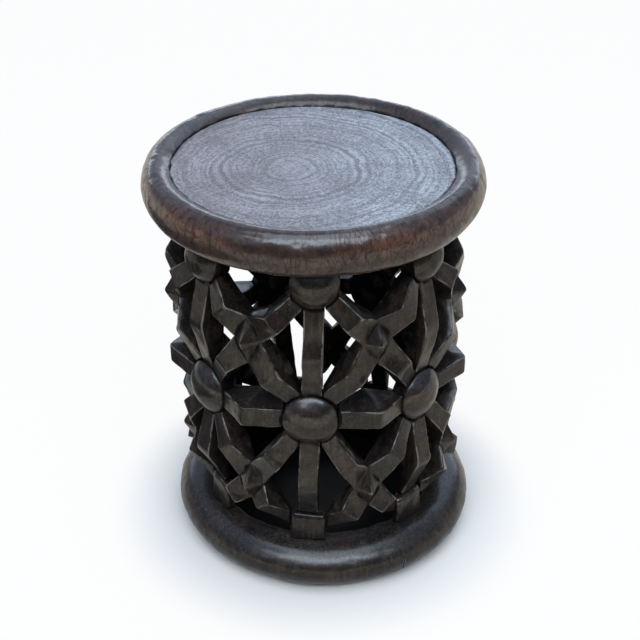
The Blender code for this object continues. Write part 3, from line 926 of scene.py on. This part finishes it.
class Wire:
    """A node's output. Sums, products and the other steps below add nodes to its tree and give new wires."""

    def __init__(self, socket):
        self.socket = socket
        self.tree = socket.id_data

    def maths(self, operation, *others, clamp=False):
        """A Math node on this value and other wires or numbers."""
        inputs = dict(enumerate((self, *others)))
        return place(self.tree, "ShaderNodeMath", inputs, operation=operation, use_clamp=clamp)

    def __add__(self, other):
        return self.maths("ADD", other)

    def __sub__(self, other):
        return self.maths("SUBTRACT", other)

    def __mul__(self, other):
        return self.maths("MULTIPLY", other)

    def vector(self, operation, *others):
        """A Vector Math node that gives a vector."""
        inputs = dict(enumerate((self, *others)))
        return place(self.tree, "ShaderNodeVectorMath", inputs, operation=operation)

    def measure(self, operation, *others):
        """A Vector Math node that gives a number."""
        inputs = dict(enumerate((self, *others)))
        return place(self.tree, "ShaderNodeVectorMath", inputs, "Value", operation=operation)

    def scaled(self, factor):
        """This vector times a number."""
        return place(self.tree, "ShaderNodeVectorMath", {0: self, "Scale": factor}, operation="SCALE")

    def level(self):
        """This vector without its height."""
        return self.vector("MULTIPLY", (1.0, 1.0, 0.0))

    def axis(self, name):
        """One of this vector's X, Y and Z."""
        return place(self.tree, "ShaderNodeSeparateXYZ", {0: self}, name)

    def ramp(self, low, high, to_low=0.0, to_high=1.0):
        """A smooth step from one level to another."""
        inputs = {"Value": self, "From Min": low, "From Max": high, "To Min": to_low, "To Max": to_high}
        return place(self.tree, "ShaderNodeMapRange", inputs, interpolation_type="SMOOTHSTEP")

    def noise(self, scale, detail=2.0, roughness=0.5):
        """A noise texture's value at this place."""
        inputs = {"Vector": self, "Scale": scale, "Detail": detail, "Roughness": roughness}
        return place(self.tree, "ShaderNodeTexNoise", inputs, "Fac")

    def bump(self, strength, distance):
        """The normal that this height bends."""
        inputs = {"Height": self, "Strength": strength, "Distance": distance}
        return place(self.tree, "ShaderNodeBump", inputs)


def fill(node, inputs):
    """Give a node's inputs plain values or wires."""
    for key, value in inputs.items():
        if isinstance(value, Wire):
            node.id_data.links.new(value.socket, node.inputs[key])
        else:
            node.inputs[key].default_value = value


def add_node(tree, kind, inputs=None, **settings):
    """A new node with its settings and its inputs."""
    node = tree.nodes.new(kind)
    for key, value in settings.items():
        setattr(node, key, value)
    fill(node, inputs or {})
    return node


def place(tree, kind, inputs=None, output=0, **settings):
    """One output of a new node."""
    return Wire(add_node(tree, kind, inputs, **settings).outputs[output])


def object_place(tree):
    """The place on the stool, in its own coordinates."""
    return place(tree, "ShaderNodeTexCoord", output="Object")


def mesh_mark(tree, name):
    """A mark that the mesh carries at its points."""
    return place(tree, "ShaderNodeAttribute", output="Fac", attribute_name=name)


def opaque(colour):
    """A colour for a socket: a wire as it is, or three numbers with full cover."""
    return colour if isinstance(colour, Wire) else (*colour, 1.0)


def layered(tree, base, *layers, blend="MIX"):
    """A colour under a row of others, each laid over the last by its share."""
    for share, colour in layers:
        inputs = {0: share, 6: opaque(base), 7: opaque(colour)}
        base = place(tree, "ShaderNodeMix", inputs, 2, data_type="RGBA", blend_type=blend)
    return base


def ray_noise(flat, away, turns, steps, detail, roughness):
    """Noise along rays: it changes by turns with the direction and by steps with the distance."""
    reach = place(flat.tree, "ShaderNodeCombineXYZ", {"Z": away * steps})
    return flat.vector("NORMALIZE").scaled(turns).vector("ADD", reach).noise(1.0, detail, roughness)


def new_group(name, inputs, outputs):
    """A shader node group with named value sockets: its tree, its inputs and its output node."""
    tree = bpy.data.node_groups.new(name, "ShaderNodeTree")
    for label, default in inputs.items():
        socket = tree.interface.new_socket(label, in_out="INPUT", socket_type="NodeSocketFloat")
        socket.default_value = default
    for label in outputs:
        tree.interface.new_socket(label, in_out="OUTPUT", socket_type="NodeSocketFloat")
    given = add_node(tree, "NodeGroupInput").outputs
    return tree, {label: Wire(given[label]) for label in inputs}, add_node(tree, "NodeGroupOutput")


def log_grain(name):
    """Grain of one upright log: rings by distance from the pith, rays by direction, fibres along Z."""
    outputs = ["Rings", "Rays", "Fibre", "Mottle"]
    tree, given, made = new_group(name, {"Ring Width": 0.0045, "Wander": 0.010}, outputs)
    spot = object_place(tree)
    flat = spot.vector("SUBTRACT", PITH).level()
    away = flat.measure("LENGTH")
    bend = (spot.noise(22.0, 3.0) - 0.5) * given["Wander"]
    turn = (away + bend).maths("DIVIDE", given["Ring Width"])
    inputs = {"W": turn, "Scale": 1.0, "Detail": 2.5}
    rings = place(tree, "ShaderNodeTexNoise", inputs, "Fac", noise_dimensions="1D")
    fill(made, {
        "Rings": rings.ramp(0.34, 0.66),
        "Rays": ray_noise(flat, away, 34.0, 75.0, 3.0, 0.6).ramp(0.40, 0.66),
        "Fibre": spot.vector("MULTIPLY", (260.0, 260.0, 15.0)).noise(1.0, 3.0, 0.6).ramp(0.34, 0.68),
        "Mottle": spot.noise(34.0, 4.0, 0.6).ramp(0.32, 0.70),
    })
    return tree


def carvers_wear(name):
    """Worn edges and dark creases from the mesh's edge mark and its mark of dirt and shade, broken up by two
    noises. The pale worn edges are partly a painted highlight for edge glints; the dark creases hold dirt and
    painted shade.
    """
    tree, given, made = new_group(name, {"Reach": 0.30}, ["Worn", "Crease"])
    spot = object_place(tree)
    edge, dirt_and_shade = mesh_mark(tree, "edge"), mesh_mark(tree, "dirt_and_shade")
    broken = spot.noise(70.0, 3.0).ramp(0.38, 0.66) * 1.3 + spot.noise(420.0, 2.0) * 0.7
    reach = given["Reach"]
    hollow = dirt_and_shade.maths("MAXIMUM", edge * -1.3)
    worn = (edge * broken).ramp(reach, reach + 0.45)
    fill(made, {"Worn": worn, "Crease": (hollow * broken).ramp(0.12, 0.75)})
    return tree


def tool_marks(name):
    """Heights left by rasp, knife and oil: fibres, faint scratches along two directions, and small pits."""
    inputs = {"Fibre": 0.5, "Scratches": 0.5, "Pits": 0.3}
    tree, given, made = new_group(name, inputs, ["Height", "Scratch"])
    spot = object_place(tree)
    fibre = spot.vector("MULTIPLY", (520.0, 520.0, 30.0)).noise(1.0, 2.0, 0.6)
    lines = []
    for angle, swell in ((0.5, 900.0), (-0.9, 700.0)):
        inputs = {"Vector": spot, "Angle": angle, "Axis": (0.6, 0.5, 0.6)}
        run = place(tree, "ShaderNodeVectorRotate", inputs).vector("MULTIPLY", (swell, 40.0, swell))
        lines.append(run.noise(1.0, 1.0).ramp(0.60, 0.78))
    scratch = lines[0].maths("MAXIMUM", lines[1])
    pits = spot.noise(620.0, 2.0).ramp(0.30, 0.45, 1.0, 0.0)
    height = fibre * given["Fibre"] - scratch * given["Scratches"] - pits * given["Pits"]
    fill(made, {"Height": height, "Scratch": scratch})
    return tree


GROUPS = {"Log grain": log_grain, "Carver's wear": carvers_wear, "Tool marks": tool_marks}


def effect(tree, name, inputs=None):
    """What one of the shared node groups gives, by name; the group is built once."""
    shared = bpy.data.node_groups.get(name) or GROUPS[name](name)
    node = add_node(tree, "ShaderNodeGroup", inputs, node_tree=shared)
    return {socket.name: Wire(socket) for socket in node.outputs}


# Materials


def painted(name, paint, **settings):
    """A material, painted the first time that it is asked for."""
    material = bpy.data.materials.get(name)
    if material is None:
        material = bpy.data.materials.new(name)
        material.use_nodes = True
        tree = material.node_tree
        paint(tree, tree.nodes["Principled BSDF"], **settings)
    return material


def dark_wood(tree, shader, haze=0.20):
    """Stained dark wood of the wall and the base: fibres, worn pale edges that are partly a painted edge
    highlight, creases darkened by dirt and painted shade, a faint painted sheen on rubbed places, satin
    polish.
    """
    tone = colours()
    grain = effect(tree, "Log grain", {"Ring Width": 0.0050})
    wear = effect(tree, "Carver's wear", {"Reach": 0.36})
    tools = effect(tree, "Tool marks", {"Fibre": 0.55, "Scratches": 0.35})
    spot, rub_and_sheen = object_place(tree), mesh_mark(tree, "rub_and_sheen")
    stain = spot.noise(58.0, 4.0, 0.65).ramp(0.36, 0.62, 0.50, 0.0)
    grit = spot.noise(640.0, 2.0, 0.6).ramp(0.34, 0.66)
    warm = spot.noise(21.0, 3.0, 0.6).ramp(0.50, 0.72)
    fleck = spot.noise(480.0, 3.0, 0.7).ramp(0.42, 0.62)
    base = layered(
        tree, tone.ebony,
        (grain["Fibre"] * grain["Mottle"], tone.umber),
        (grain["Rings"] * 0.35, tone.ebony),
        (stain, tone.crease),
        (grit * 0.14, tone.umber),
        (warm * 0.14, tone.russet),
        (0.34, tone.crease),
        # Worn edges painted pale: partly wear, partly a painted highlight for edge glints.
        (wear["Worn"] * 0.40, tone.pale_wear_and_glint),
        (tools["Scratch"] * 0.16, tone.pale_wear_and_glint),
        # A faint bluish film on rubbed places: painted sheen.
        (rub_and_sheen * fleck.ramp(0.40, 1.0, 0.0, 0.020), tone.painted_cool_sheen),
        # Dark creases and inner faces: dirt and painted shade.
        (wear["Crease"] * 0.85, tone.crease),
    )
    rough = grain["Mottle"].ramp(0.0, 1.0, 0.34, 0.52)
    polish = spot.noise(140.0, 4.0, 0.65).ramp(0.34, 0.66, 0.40, 0.60) + rub_and_sheen * 0.7
    polish = polish * fleck.ramp(0.0, 1.0, 0.75, 1.15) + wear["Worn"] * 0.35
    fill(shader, {
        "Base Color": base,
        "Roughness": rough.maths("ADD", wear["Crease"] * 0.40, clamp=True),
        "Coat Weight": polish.maths("SUBTRACT", wear["Crease"], clamp=True),
        "Coat Roughness": haze,
        "Specular IOR Level": 0.07,
        "Normal": tools["Height"].bump(0.45, 0.00013),
    })


def rim_wood(tree, shader):
    """Polished rim: dark oiled wood, rubbed russet where hands and clothes wore it, with fine cross cracks."""
    tone = colours()
    grain = effect(tree, "Log grain")
    wear = effect(tree, "Carver's wear")
    tools = effect(tree, "Tool marks", {"Fibre": 0.60, "Scratches": 0.45, "Pits": 0.40})
    spot, rub_and_sheen = object_place(tree), mesh_mark(tree, "rub_and_sheen")
    patchy = (rub_and_sheen + 0.26) * spot.noise(55.0, 4.0, 0.65).ramp(0.28, 0.62)
    drift = spot.vector("MULTIPLY", (22.0, 22.0, 34.0))
    flat = spot.vector("SUBTRACT", (SEAT_X, 0.0, 0.0)).level()
    course = flat.vector("NORMALIZE").scaled(62.0).vector("ADD", drift)
    split = (course.noise(1.0, 2.0, 0.6) - 0.5).maths("ABSOLUTE").ramp(0.004, 0.026, 1.0, 0.0)
    inputs = {"Vector": course.vector("MULTIPLY", (0.5, 0.5, 2.2)), "Scale": 1.0}
    cells = place(tree, "ShaderNodeTexVoronoi", inputs, "Distance", feature="DISTANCE_TO_EDGE")
    split = split.maths("MAXIMUM", cells.ramp(0.015, 0.07, 0.8, 0.0))
    broken = split * spot.noise(30.0, 2.0).ramp(0.40, 0.60)
    split = split * patchy.ramp(0.04, 0.45, 0.18, 1.0)
    speck = spot.noise(260.0, 3.0, 0.6).ramp(0.58, 0.72)
    base = layered(
        tree, tone.ebony,
        (grain["Fibre"] * grain["Mottle"], tone.umber),
        (0.40, tone.crease),
        (patchy * 0.92, tone.russet),
        (split * 0.60, tone.crease),
        (speck * 0.14, tone.pale_wear_and_glint),
        (wear["Crease"] * 0.9, tone.crease),
    )
    rise = spot.axis("Z").ramp(RIM_LOW.z + 0.020, RIM_HIGH.z - 0.007, 0.55, 1.0)
    polish = spot.noise(120.0, 4.0, 0.65).ramp(0.30, 0.60, 0.78, 1.0) * rise
    polish = polish * spot.noise(460.0, 3.0, 0.7).ramp(0.30, 0.62, 0.70, 1.0)
    polish = polish - split.maths("MAXIMUM", broken) * 0.6
    fill(shader, {
        "Base Color": base,
        "Roughness": spot.noise(90.0, 4.0, 0.6).ramp(0.30, 0.70, 0.26, 0.44),
        "Coat Weight": polish.maths("SUBTRACT", wear["Crease"], clamp=True),
        "Coat Roughness": 0.20,
        "Coat IOR": 1.56,
        "Specular IOR Level": 0.15,
        "Normal": (tools["Height"] - split * 0.8).bump(0.65, 0.00018),
    })


def end_grain(tree, shader):
    """End grain of the seat's floor: pale and dark growth rings, rays, brown patches and a dull polish, with a
    painted sheen that turns it bluer and paler towards +X, and pale specks painted as glints.
    """
    tone = colours()
    grain = effect(tree, "Log grain", {"Ring Width": 0.0046, "Wander": 0.020})
    broad = effect(tree, "Log grain", {"Ring Width": 0.0120, "Wander": 0.030})
    wear = effect(tree, "Carver's wear")
    spot = object_place(tree)
    sway = place(tree, "ShaderNodeTexNoise", {"Vector": spot, "Scale": 48.0, "Detail": 3.0}, "Color")
    sway = sway.vector("SUBTRACT", (0.5, 0.5, 0.5)).scaled(0.017)
    drawn = spot.vector("SUBTRACT", PITH).vector("ADD", sway).level()
    away = drawn.measure("LENGTH")
    strokes = ray_noise(drawn, away, 24.0, 560.0, 4.0, 0.68) + ray_noise(drawn, away, 105.0, 150.0, 4.0, 0.68)
    inputs = {"Vector": spot, "Scale": 520.0, "Detail": 2.0, "Distortion": 1.4}
    fine = place(tree, "ShaderNodeTexNoise", inputs, "Fac").ramp(0.34, 0.66)
    share = grain["Rings"] * spot.noise(26.0, 3.0).ramp(0.36, 0.62, 0.18, 0.54)
    share = share + broad["Rings"] * 0.12 + grain["Rays"] * 0.14 + away.ramp(0.002, 0.034, 0.38, 0.18)
    texture = fine.ramp(0.0, 1.0, 0.05, 1.25) + strokes.ramp(0.78, 1.24) * 0.80
    share = share.maths("MULTIPLY", texture, clamp=True)
    across = spot.axis("X")
    # Painted sheen: towards +X the pale end grain turns bluer and paler, and the brown patches thin out.
    pale = layered(tree, tone.seat_pale, (across.ramp(-0.11, 0.13), tone.painted_cool_sheen))
    patch = spot.noise(14.0, 4.0, 0.62).ramp(0.44, 0.66) * across.ramp(-0.10, 0.07, 0.30, 0.12)
    pores = spot.noise(880.0, 2.0, 0.6).ramp(0.30, 0.43, 0.75, 0.0)
    # Pale specks painted as sparkle: painted glints.
    speck = spot.noise(760.0, 2.0, 0.6).ramp(0.56, 0.70)
    base = layered(
        tree, tone.seat_dark,
        (share, pale),
        (patch, tone.umber),
        (pores, tone.seat_dark),
        (speck * 0.80, pale),
        (wear["Crease"], tone.crease),
    )
    fill(shader, {
        "Base Color": base,
        "Roughness": share.ramp(0.0, 1.0, 0.52, 0.36),
        "Specular IOR Level": 0.5,
        "Normal": (share * 0.8 + fine * 0.5).bump(0.80, 0.00045),
    })


# Stage


def stage_paper(tree, shader):
    """Pale floor: a dull white that the camera and reflections see close to white, with a soft shadow left and
    a painted shadow inside the base ring.
    """
    spot = object_place(tree)
    away = spot.measure("DISTANCE", (BASE_X, 0.0, 0.0))
    # Painted shadow: inside the base ring the floor's colour is darkened.
    inner = away.ramp(0.035, 0.070, 0.05, 0.012)
    tint = spot.noise(3.0, 3.0).ramp(0.3, 0.7, 0.985, 1.0) * inner.maths("MAXIMUM", away.ramp(0.125, 0.150))
    fill(shader, {
        "Base Color": layered(tree, colours().paper, (1.0, tint), blend="MULTIPLY"),
        "Roughness": 0.9,
        "Specular IOR Level": 0.1,
    })
    seen = add_node(tree, "ShaderNodeLightPath").outputs
    camera, mirror, through = (Wire(seen[f"Is {kind} Ray"]) for kind in ("Camera", "Glossy", "Transmission"))
    share = (camera + mirror).maths("ADD", through, clamp=True) * away.ramp(0.155, 0.25, 0.0, 0.92)
    white = layered(tree, (0.91, 0.85, 0.74), (camera, (1.0, 1.0, 1.0)))
    glow = place(tree, "ShaderNodeEmission", {"Color": white, "Strength": 1.0})
    blend = place(tree, "ShaderNodeMixShader", {0: share, 1: Wire(shader.outputs[0]), 2: glow})
    fill(tree.nodes["Material Output"], {"Surface": blend})


def stage_felt(tree, shader):
    """Dark woven card."""
    weave = object_place(tree).noise(40.0, 3.0)
    base = layered(tree, (0.03, 0.032, 0.037), (weave, (0.05, 0.054, 0.062)))
    fill(shader, {"Base Color": base, "Roughness": 0.95})


def stage_sheet(name, corners, material):
    """A flat sheet of the stage with four corners."""
    mesh = bpy.data.meshes.new(name)
    mesh.from_pydata(corners, [], [(0, 1, 2, 3)])
    mesh.materials.append(material)
    sheet = linked(name, mesh)
    return sheet


def floor_plane():
    """A flat square floor just under the base ring."""
    reach = 9.0
    corners = [(-reach, -reach, 0.0), (reach, -reach, 0.0), (reach, reach, 0.0), (-reach, reach, 0.0)]
    stage_sheet("stage_floor", corners, painted("Pale stage", stage_paper))


def dark_card(name, corners):
    """A dark card that no camera sees; it keeps the faces that mirror it from greying."""
    card = stage_sheet(name, corners, painted("Dark card", stage_felt))
    card.visible_camera = False
    return card


def sky():
    """Soft surroundings: white below the horizon, dim above it, cool higher up and brightest at the back."""
    scene = bpy.context.scene
    world = scene.world or bpy.data.worlds.new("Soft surroundings")
    scene.world = world
    world.use_nodes = True
    tree = world.node_tree
    tree.nodes.clear()
    way = place(tree, "ShaderNodeTexCoord", output="Generated")
    rise = way.axis("Z")
    facing = way.measure("DOT_PRODUCT", (0.31, 0.61, 0.73))
    light = layered(
        tree, (1.0, 1.0, 1.0),
        (rise.ramp(0.01, 0.06), (0.22, 0.27, 0.37)),
        (rise.ramp(0.22, 0.55), (0.40, 0.50, 0.70)),
        (facing.ramp(0.86, 0.99), (1.1, 1.35, 1.75)),
    )
    ground = place(tree, "ShaderNodeBackground", {"Color": light, "Strength": 1.0})
    add_node(tree, "ShaderNodeOutputWorld", {"Surface": ground})


def lamp(name, where, target, size, power, tint):
    """A soft light, as wide and as high as its size says, that points at a target."""
    data = bpy.data.lights.new(name, "AREA")
    data.shape = "RECTANGLE"
    data.size, data.size_y = size
    data.energy = power
    data.color = tint
    made = linked(name, data)
    made.location = where
    made.rotation_euler = (Vector(target) - Vector(where)).to_track_quat("-Z", "Y").to_euler()
    made.visible_camera = False


def photo_camera():
    """The camera at the photograph's height, distance and downward angle."""
    data = bpy.data.cameras.new("photo_camera")
    data.lens = 75.94
    data.sensor_width = 36.0
    data.clip_end = 60.0
    made = linked("photo_camera", data)
    made.location = (0.0055, -1.1968, 0.9853)
    made.rotation_euler = (0.5 * math.pi - math.radians(32.051), 0.0, 0.0)
    bpy.context.scene.camera = made


# Operators


class STOOL_OT_seat_rim(Operator):
    """Turn the fat rolled rim of the seat"""

    bl_idname = "stool.seat_rim"
    bl_label = "Seat rim"

    def execute(self, context):
        rim_piece("seat_rim", painted("Polished rim wood", rim_wood))
        return {"FINISHED"}


class STOOL_OT_seat_floor(Operator):
    """Make the flat end-grain floor of the seat"""

    bl_idname = "stool.seat_floor"
    bl_label = "Seat floor"

    def execute(self, context):
        floor_piece("seat_panel", painted("Worn end grain", end_grain))
        return {"FINISHED"}


class STOOL_OT_base_ring(Operator):
    """Turn the fat ring that the stool stands on"""

    bl_idname = "stool.base_ring"
    bl_label = "Base ring"

    def execute(self, context):
        base_piece("base_ring", painted("Scuffed base wood", dark_wood, haze=0.25))
        return {"FINISHED"}


class STOOL_OT_bosses(Operator):
    """Carve the domed bosses under the seat and at mid-height"""

    bl_idname = "stool.bosses"
    bl_label = "Bosses"

    def execute(self, context):
        size = sizes()
        for column in range(size.columns):
            upper, middle = stations(column)[:2]
            boss_piece(f"upper_boss_{column + 1}", upper, size.underside - size.seam)
            boss_piece(f"mid_boss_{column + 1}", middle)
        return {"FINISHED"}


class STOOL_OT_feet(Operator):
    """Carve the blocks that stand on the base ring"""

    bl_idname = "stool.feet"
    bl_label = "Feet"

    def execute(self, context):
        for column in range(sizes().columns):
            foot_piece(f"foot_{column + 1}", stations(column)[2])
        return {"FINISHED"}


class STOOL_OT_posts(Operator):
    """Carve the upright struts with their knees"""

    bl_idname = "stool.posts"
    bl_label = "Posts"

    def execute(self, context):
        size = sizes()
        width = size.post_width
        for column in range(size.columns):
            upper, middle, foot, foot_top = stations(column)
            under = Spot(column, middle.height - middle.radius)
            loose = unevenness(f"post_{column + 1}", 4)
            shares, tilts = 0.5 + 0.03 * loose[::2], KNEE_TILT * loose[1::2]
            knee = knee_row(upper, middle, shares[0], size.post_bulge, width, tilt=tilts[0])
            rows = [boss_row(upper, middle, width), knee, flipped(boss_row(middle, upper, width))]
            strut(f"upper_post_{column + 1}", rows)
            knee = knee_row(under, foot_top, shares[1], size.post_bulge, width, tilt=tilts[1])
            strut(f"lower_post_{column + 1}", [boss_row(middle, foot_top, width), knee, foot_top_row(foot)])
        return {"FINISHED"}


class STOOL_OT_links(Operator):
    """Carve the level struts from boss to boss"""

    bl_idname = "stool.links"
    bl_label = "Links"

    def execute(self, context):
        size = sizes()
        width = size.link_width
        for column in range(size.columns):
            middle, following = stations(column)[1], stations(column + 1)[1]
            loose = unevenness(f"link_{column + 1}", 2)
            knee = knee_row(middle, following, 0.5 + 0.02 * loose[0], size.link_bulge, width, size.link_rise,
                            KNEE_TILT * loose[1], size.link_depth)
            rows = [boss_row(middle, following, width), knee, flipped(boss_row(following, middle, width))]
            # Links get only a little painted shade on their flanks.
            strut(f"link_{column + 1}", rows, inside_shade=0.15)
        return {"FINISHED"}


class STOOL_OT_crossings(Operator):
    """Carve the crossed arms with a pyramid stud at each crossing"""

    bl_idname = "stool.crossings"
    bl_label = "Crossings"

    def execute(self, context):
        size = sizes()
        upper_cross, lower_cross = levels()[4:]
        for column in range(size.columns):
            upper, middle, foot, foot_top = stations(column)
            next_upper, next_middle, next_foot, next_foot_top = stations(column + 1)
            name = f"upper_cross_{column + 1}"
            centre = Spot(column + 0.5, upper_cross)
            ends = [(next_upper, next_middle), (next_middle, next_upper), (middle, upper), (upper, middle)]
            arms = [arm_rows(f"{name}_arm_{k}", centre, boss, post, size.upper_arm_bulge)
                    for k, (boss, post) in enumerate(ends)]
            crossing(name, centre, size.upper_stud_bulge, arms)
            name = f"lower_cross_{column + 1}"
            centre = Spot(column + 0.5, lower_cross)
            arms = [
                arm_rows(f"{name}_arm_0", centre, next_middle, next_foot_top, size.lower_arm_bulge),
                foot_arm_rows(f"{name}_arm_1", centre, next_foot, -1.0),
                foot_arm_rows(f"{name}_arm_2", centre, foot, 1.0),
                arm_rows(f"{name}_arm_3", centre, middle, foot_top, size.lower_arm_bulge),
            ]
            crossing(name, centre, size.lower_stud_bulge, arms)
        return {"FINISHED"}


class STOOL_OT_stage(Operator):
    """Set up the pale floor, the soft light and the camera"""

    bl_idname = "stool.stage"
    bl_label = "Stage"

    def execute(self, context):
        context.scene.view_settings.view_transform = "Standard"
        floor_plane()
        behind = [(-2.6, -1.60, 0.0), (2.6, -1.60, 0.0), (2.6, -1.60, 0.80), (-2.6, -1.60, 0.80)]
        dark_card("stage_panel", behind)
        # A dark card on the floor at the left that only reflections see: painted shade in place of the floor's
        # shadow there.
        left = [(-0.95, -0.50, 0.004), (-0.33, -0.34, 0.004), (-0.33, 0.42, 0.004), (-0.95, 0.75, 0.004)]
        card = dark_card("painted_shade_card", left)
        card.visible_diffuse = False
        card.visible_shadow = False
        sky()
        lamp("front_wide", (0.0, -2.30, 2.72), (0.0, 0.0, 0.30), (4.4, 1.3), 116.0, (0.79, 0.90, 1.0))
        lamp("front_high", (0.05, -0.62, 3.00), (0.0, -0.05, 0.30), (2.6, 1.9), 48.0, (0.77, 0.89, 1.0))
        lamp("floor_bounce", (0.0, -0.75, 0.012), (0.0, -0.70, 1.0), (2.0, 0.9), 4.5, (1.0, 0.92, 0.74))
        lamp("back_low", (0.0, 3.40, 1.12), (0.0, 0.0, 0.42), (6.4, 0.68), 36.0, (0.76, 0.86, 1.0))
        photo_camera()
        return {"FINISHED"}


class STOOL_PT_sidebar(Panel):
    """The stool's pieces and stage, in the order in which they are built"""

    bl_idname = "STOOL_PT_sidebar"
    bl_label = "Carved lattice stool"
    bl_space_type = "VIEW_3D"
    bl_region_type = "UI"
    bl_category = "Stool"

    def draw(self, context):
        for name in STEPS:
            self.layout.operator(f"stool.{name}")
        for group in (context.scene.stool_sizes, context.scene.stool_colours):
            box = self.layout.box()
            for name in group.__annotations__:
                box.prop(group, name)


STEPS = ("seat_rim", "seat_floor", "base_ring", "bosses", "feet", "posts", "links", "crossings", "stage")
CLASSES = (StoolSizes, StoolColours, STOOL_OT_seat_rim, STOOL_OT_seat_floor, STOOL_OT_base_ring,
           STOOL_OT_bosses, STOOL_OT_feet, STOOL_OT_posts, STOOL_OT_links, STOOL_OT_crossings,
           STOOL_OT_stage, STOOL_PT_sidebar)


def register():
    """Register the classes and hang the properties on the scene."""
    for item in CLASSES:
        bpy.utils.register_class(item)
    bpy.types.Scene.stool_sizes = PointerProperty(type=StoolSizes)
    bpy.types.Scene.stool_colours = PointerProperty(type=StoolColours)


def unregister():
    """Take the properties and the classes away again."""
    del bpy.types.Scene.stool_colours
    del bpy.types.Scene.stool_sizes
    for item in reversed(CLASSES):
        bpy.utils.unregister_class(item)


def main():
    """Build every piece and the stage."""
    register()
    for name in STEPS:
        getattr(bpy.ops.stool, name)()


if __name__ == "__main__":
    main()
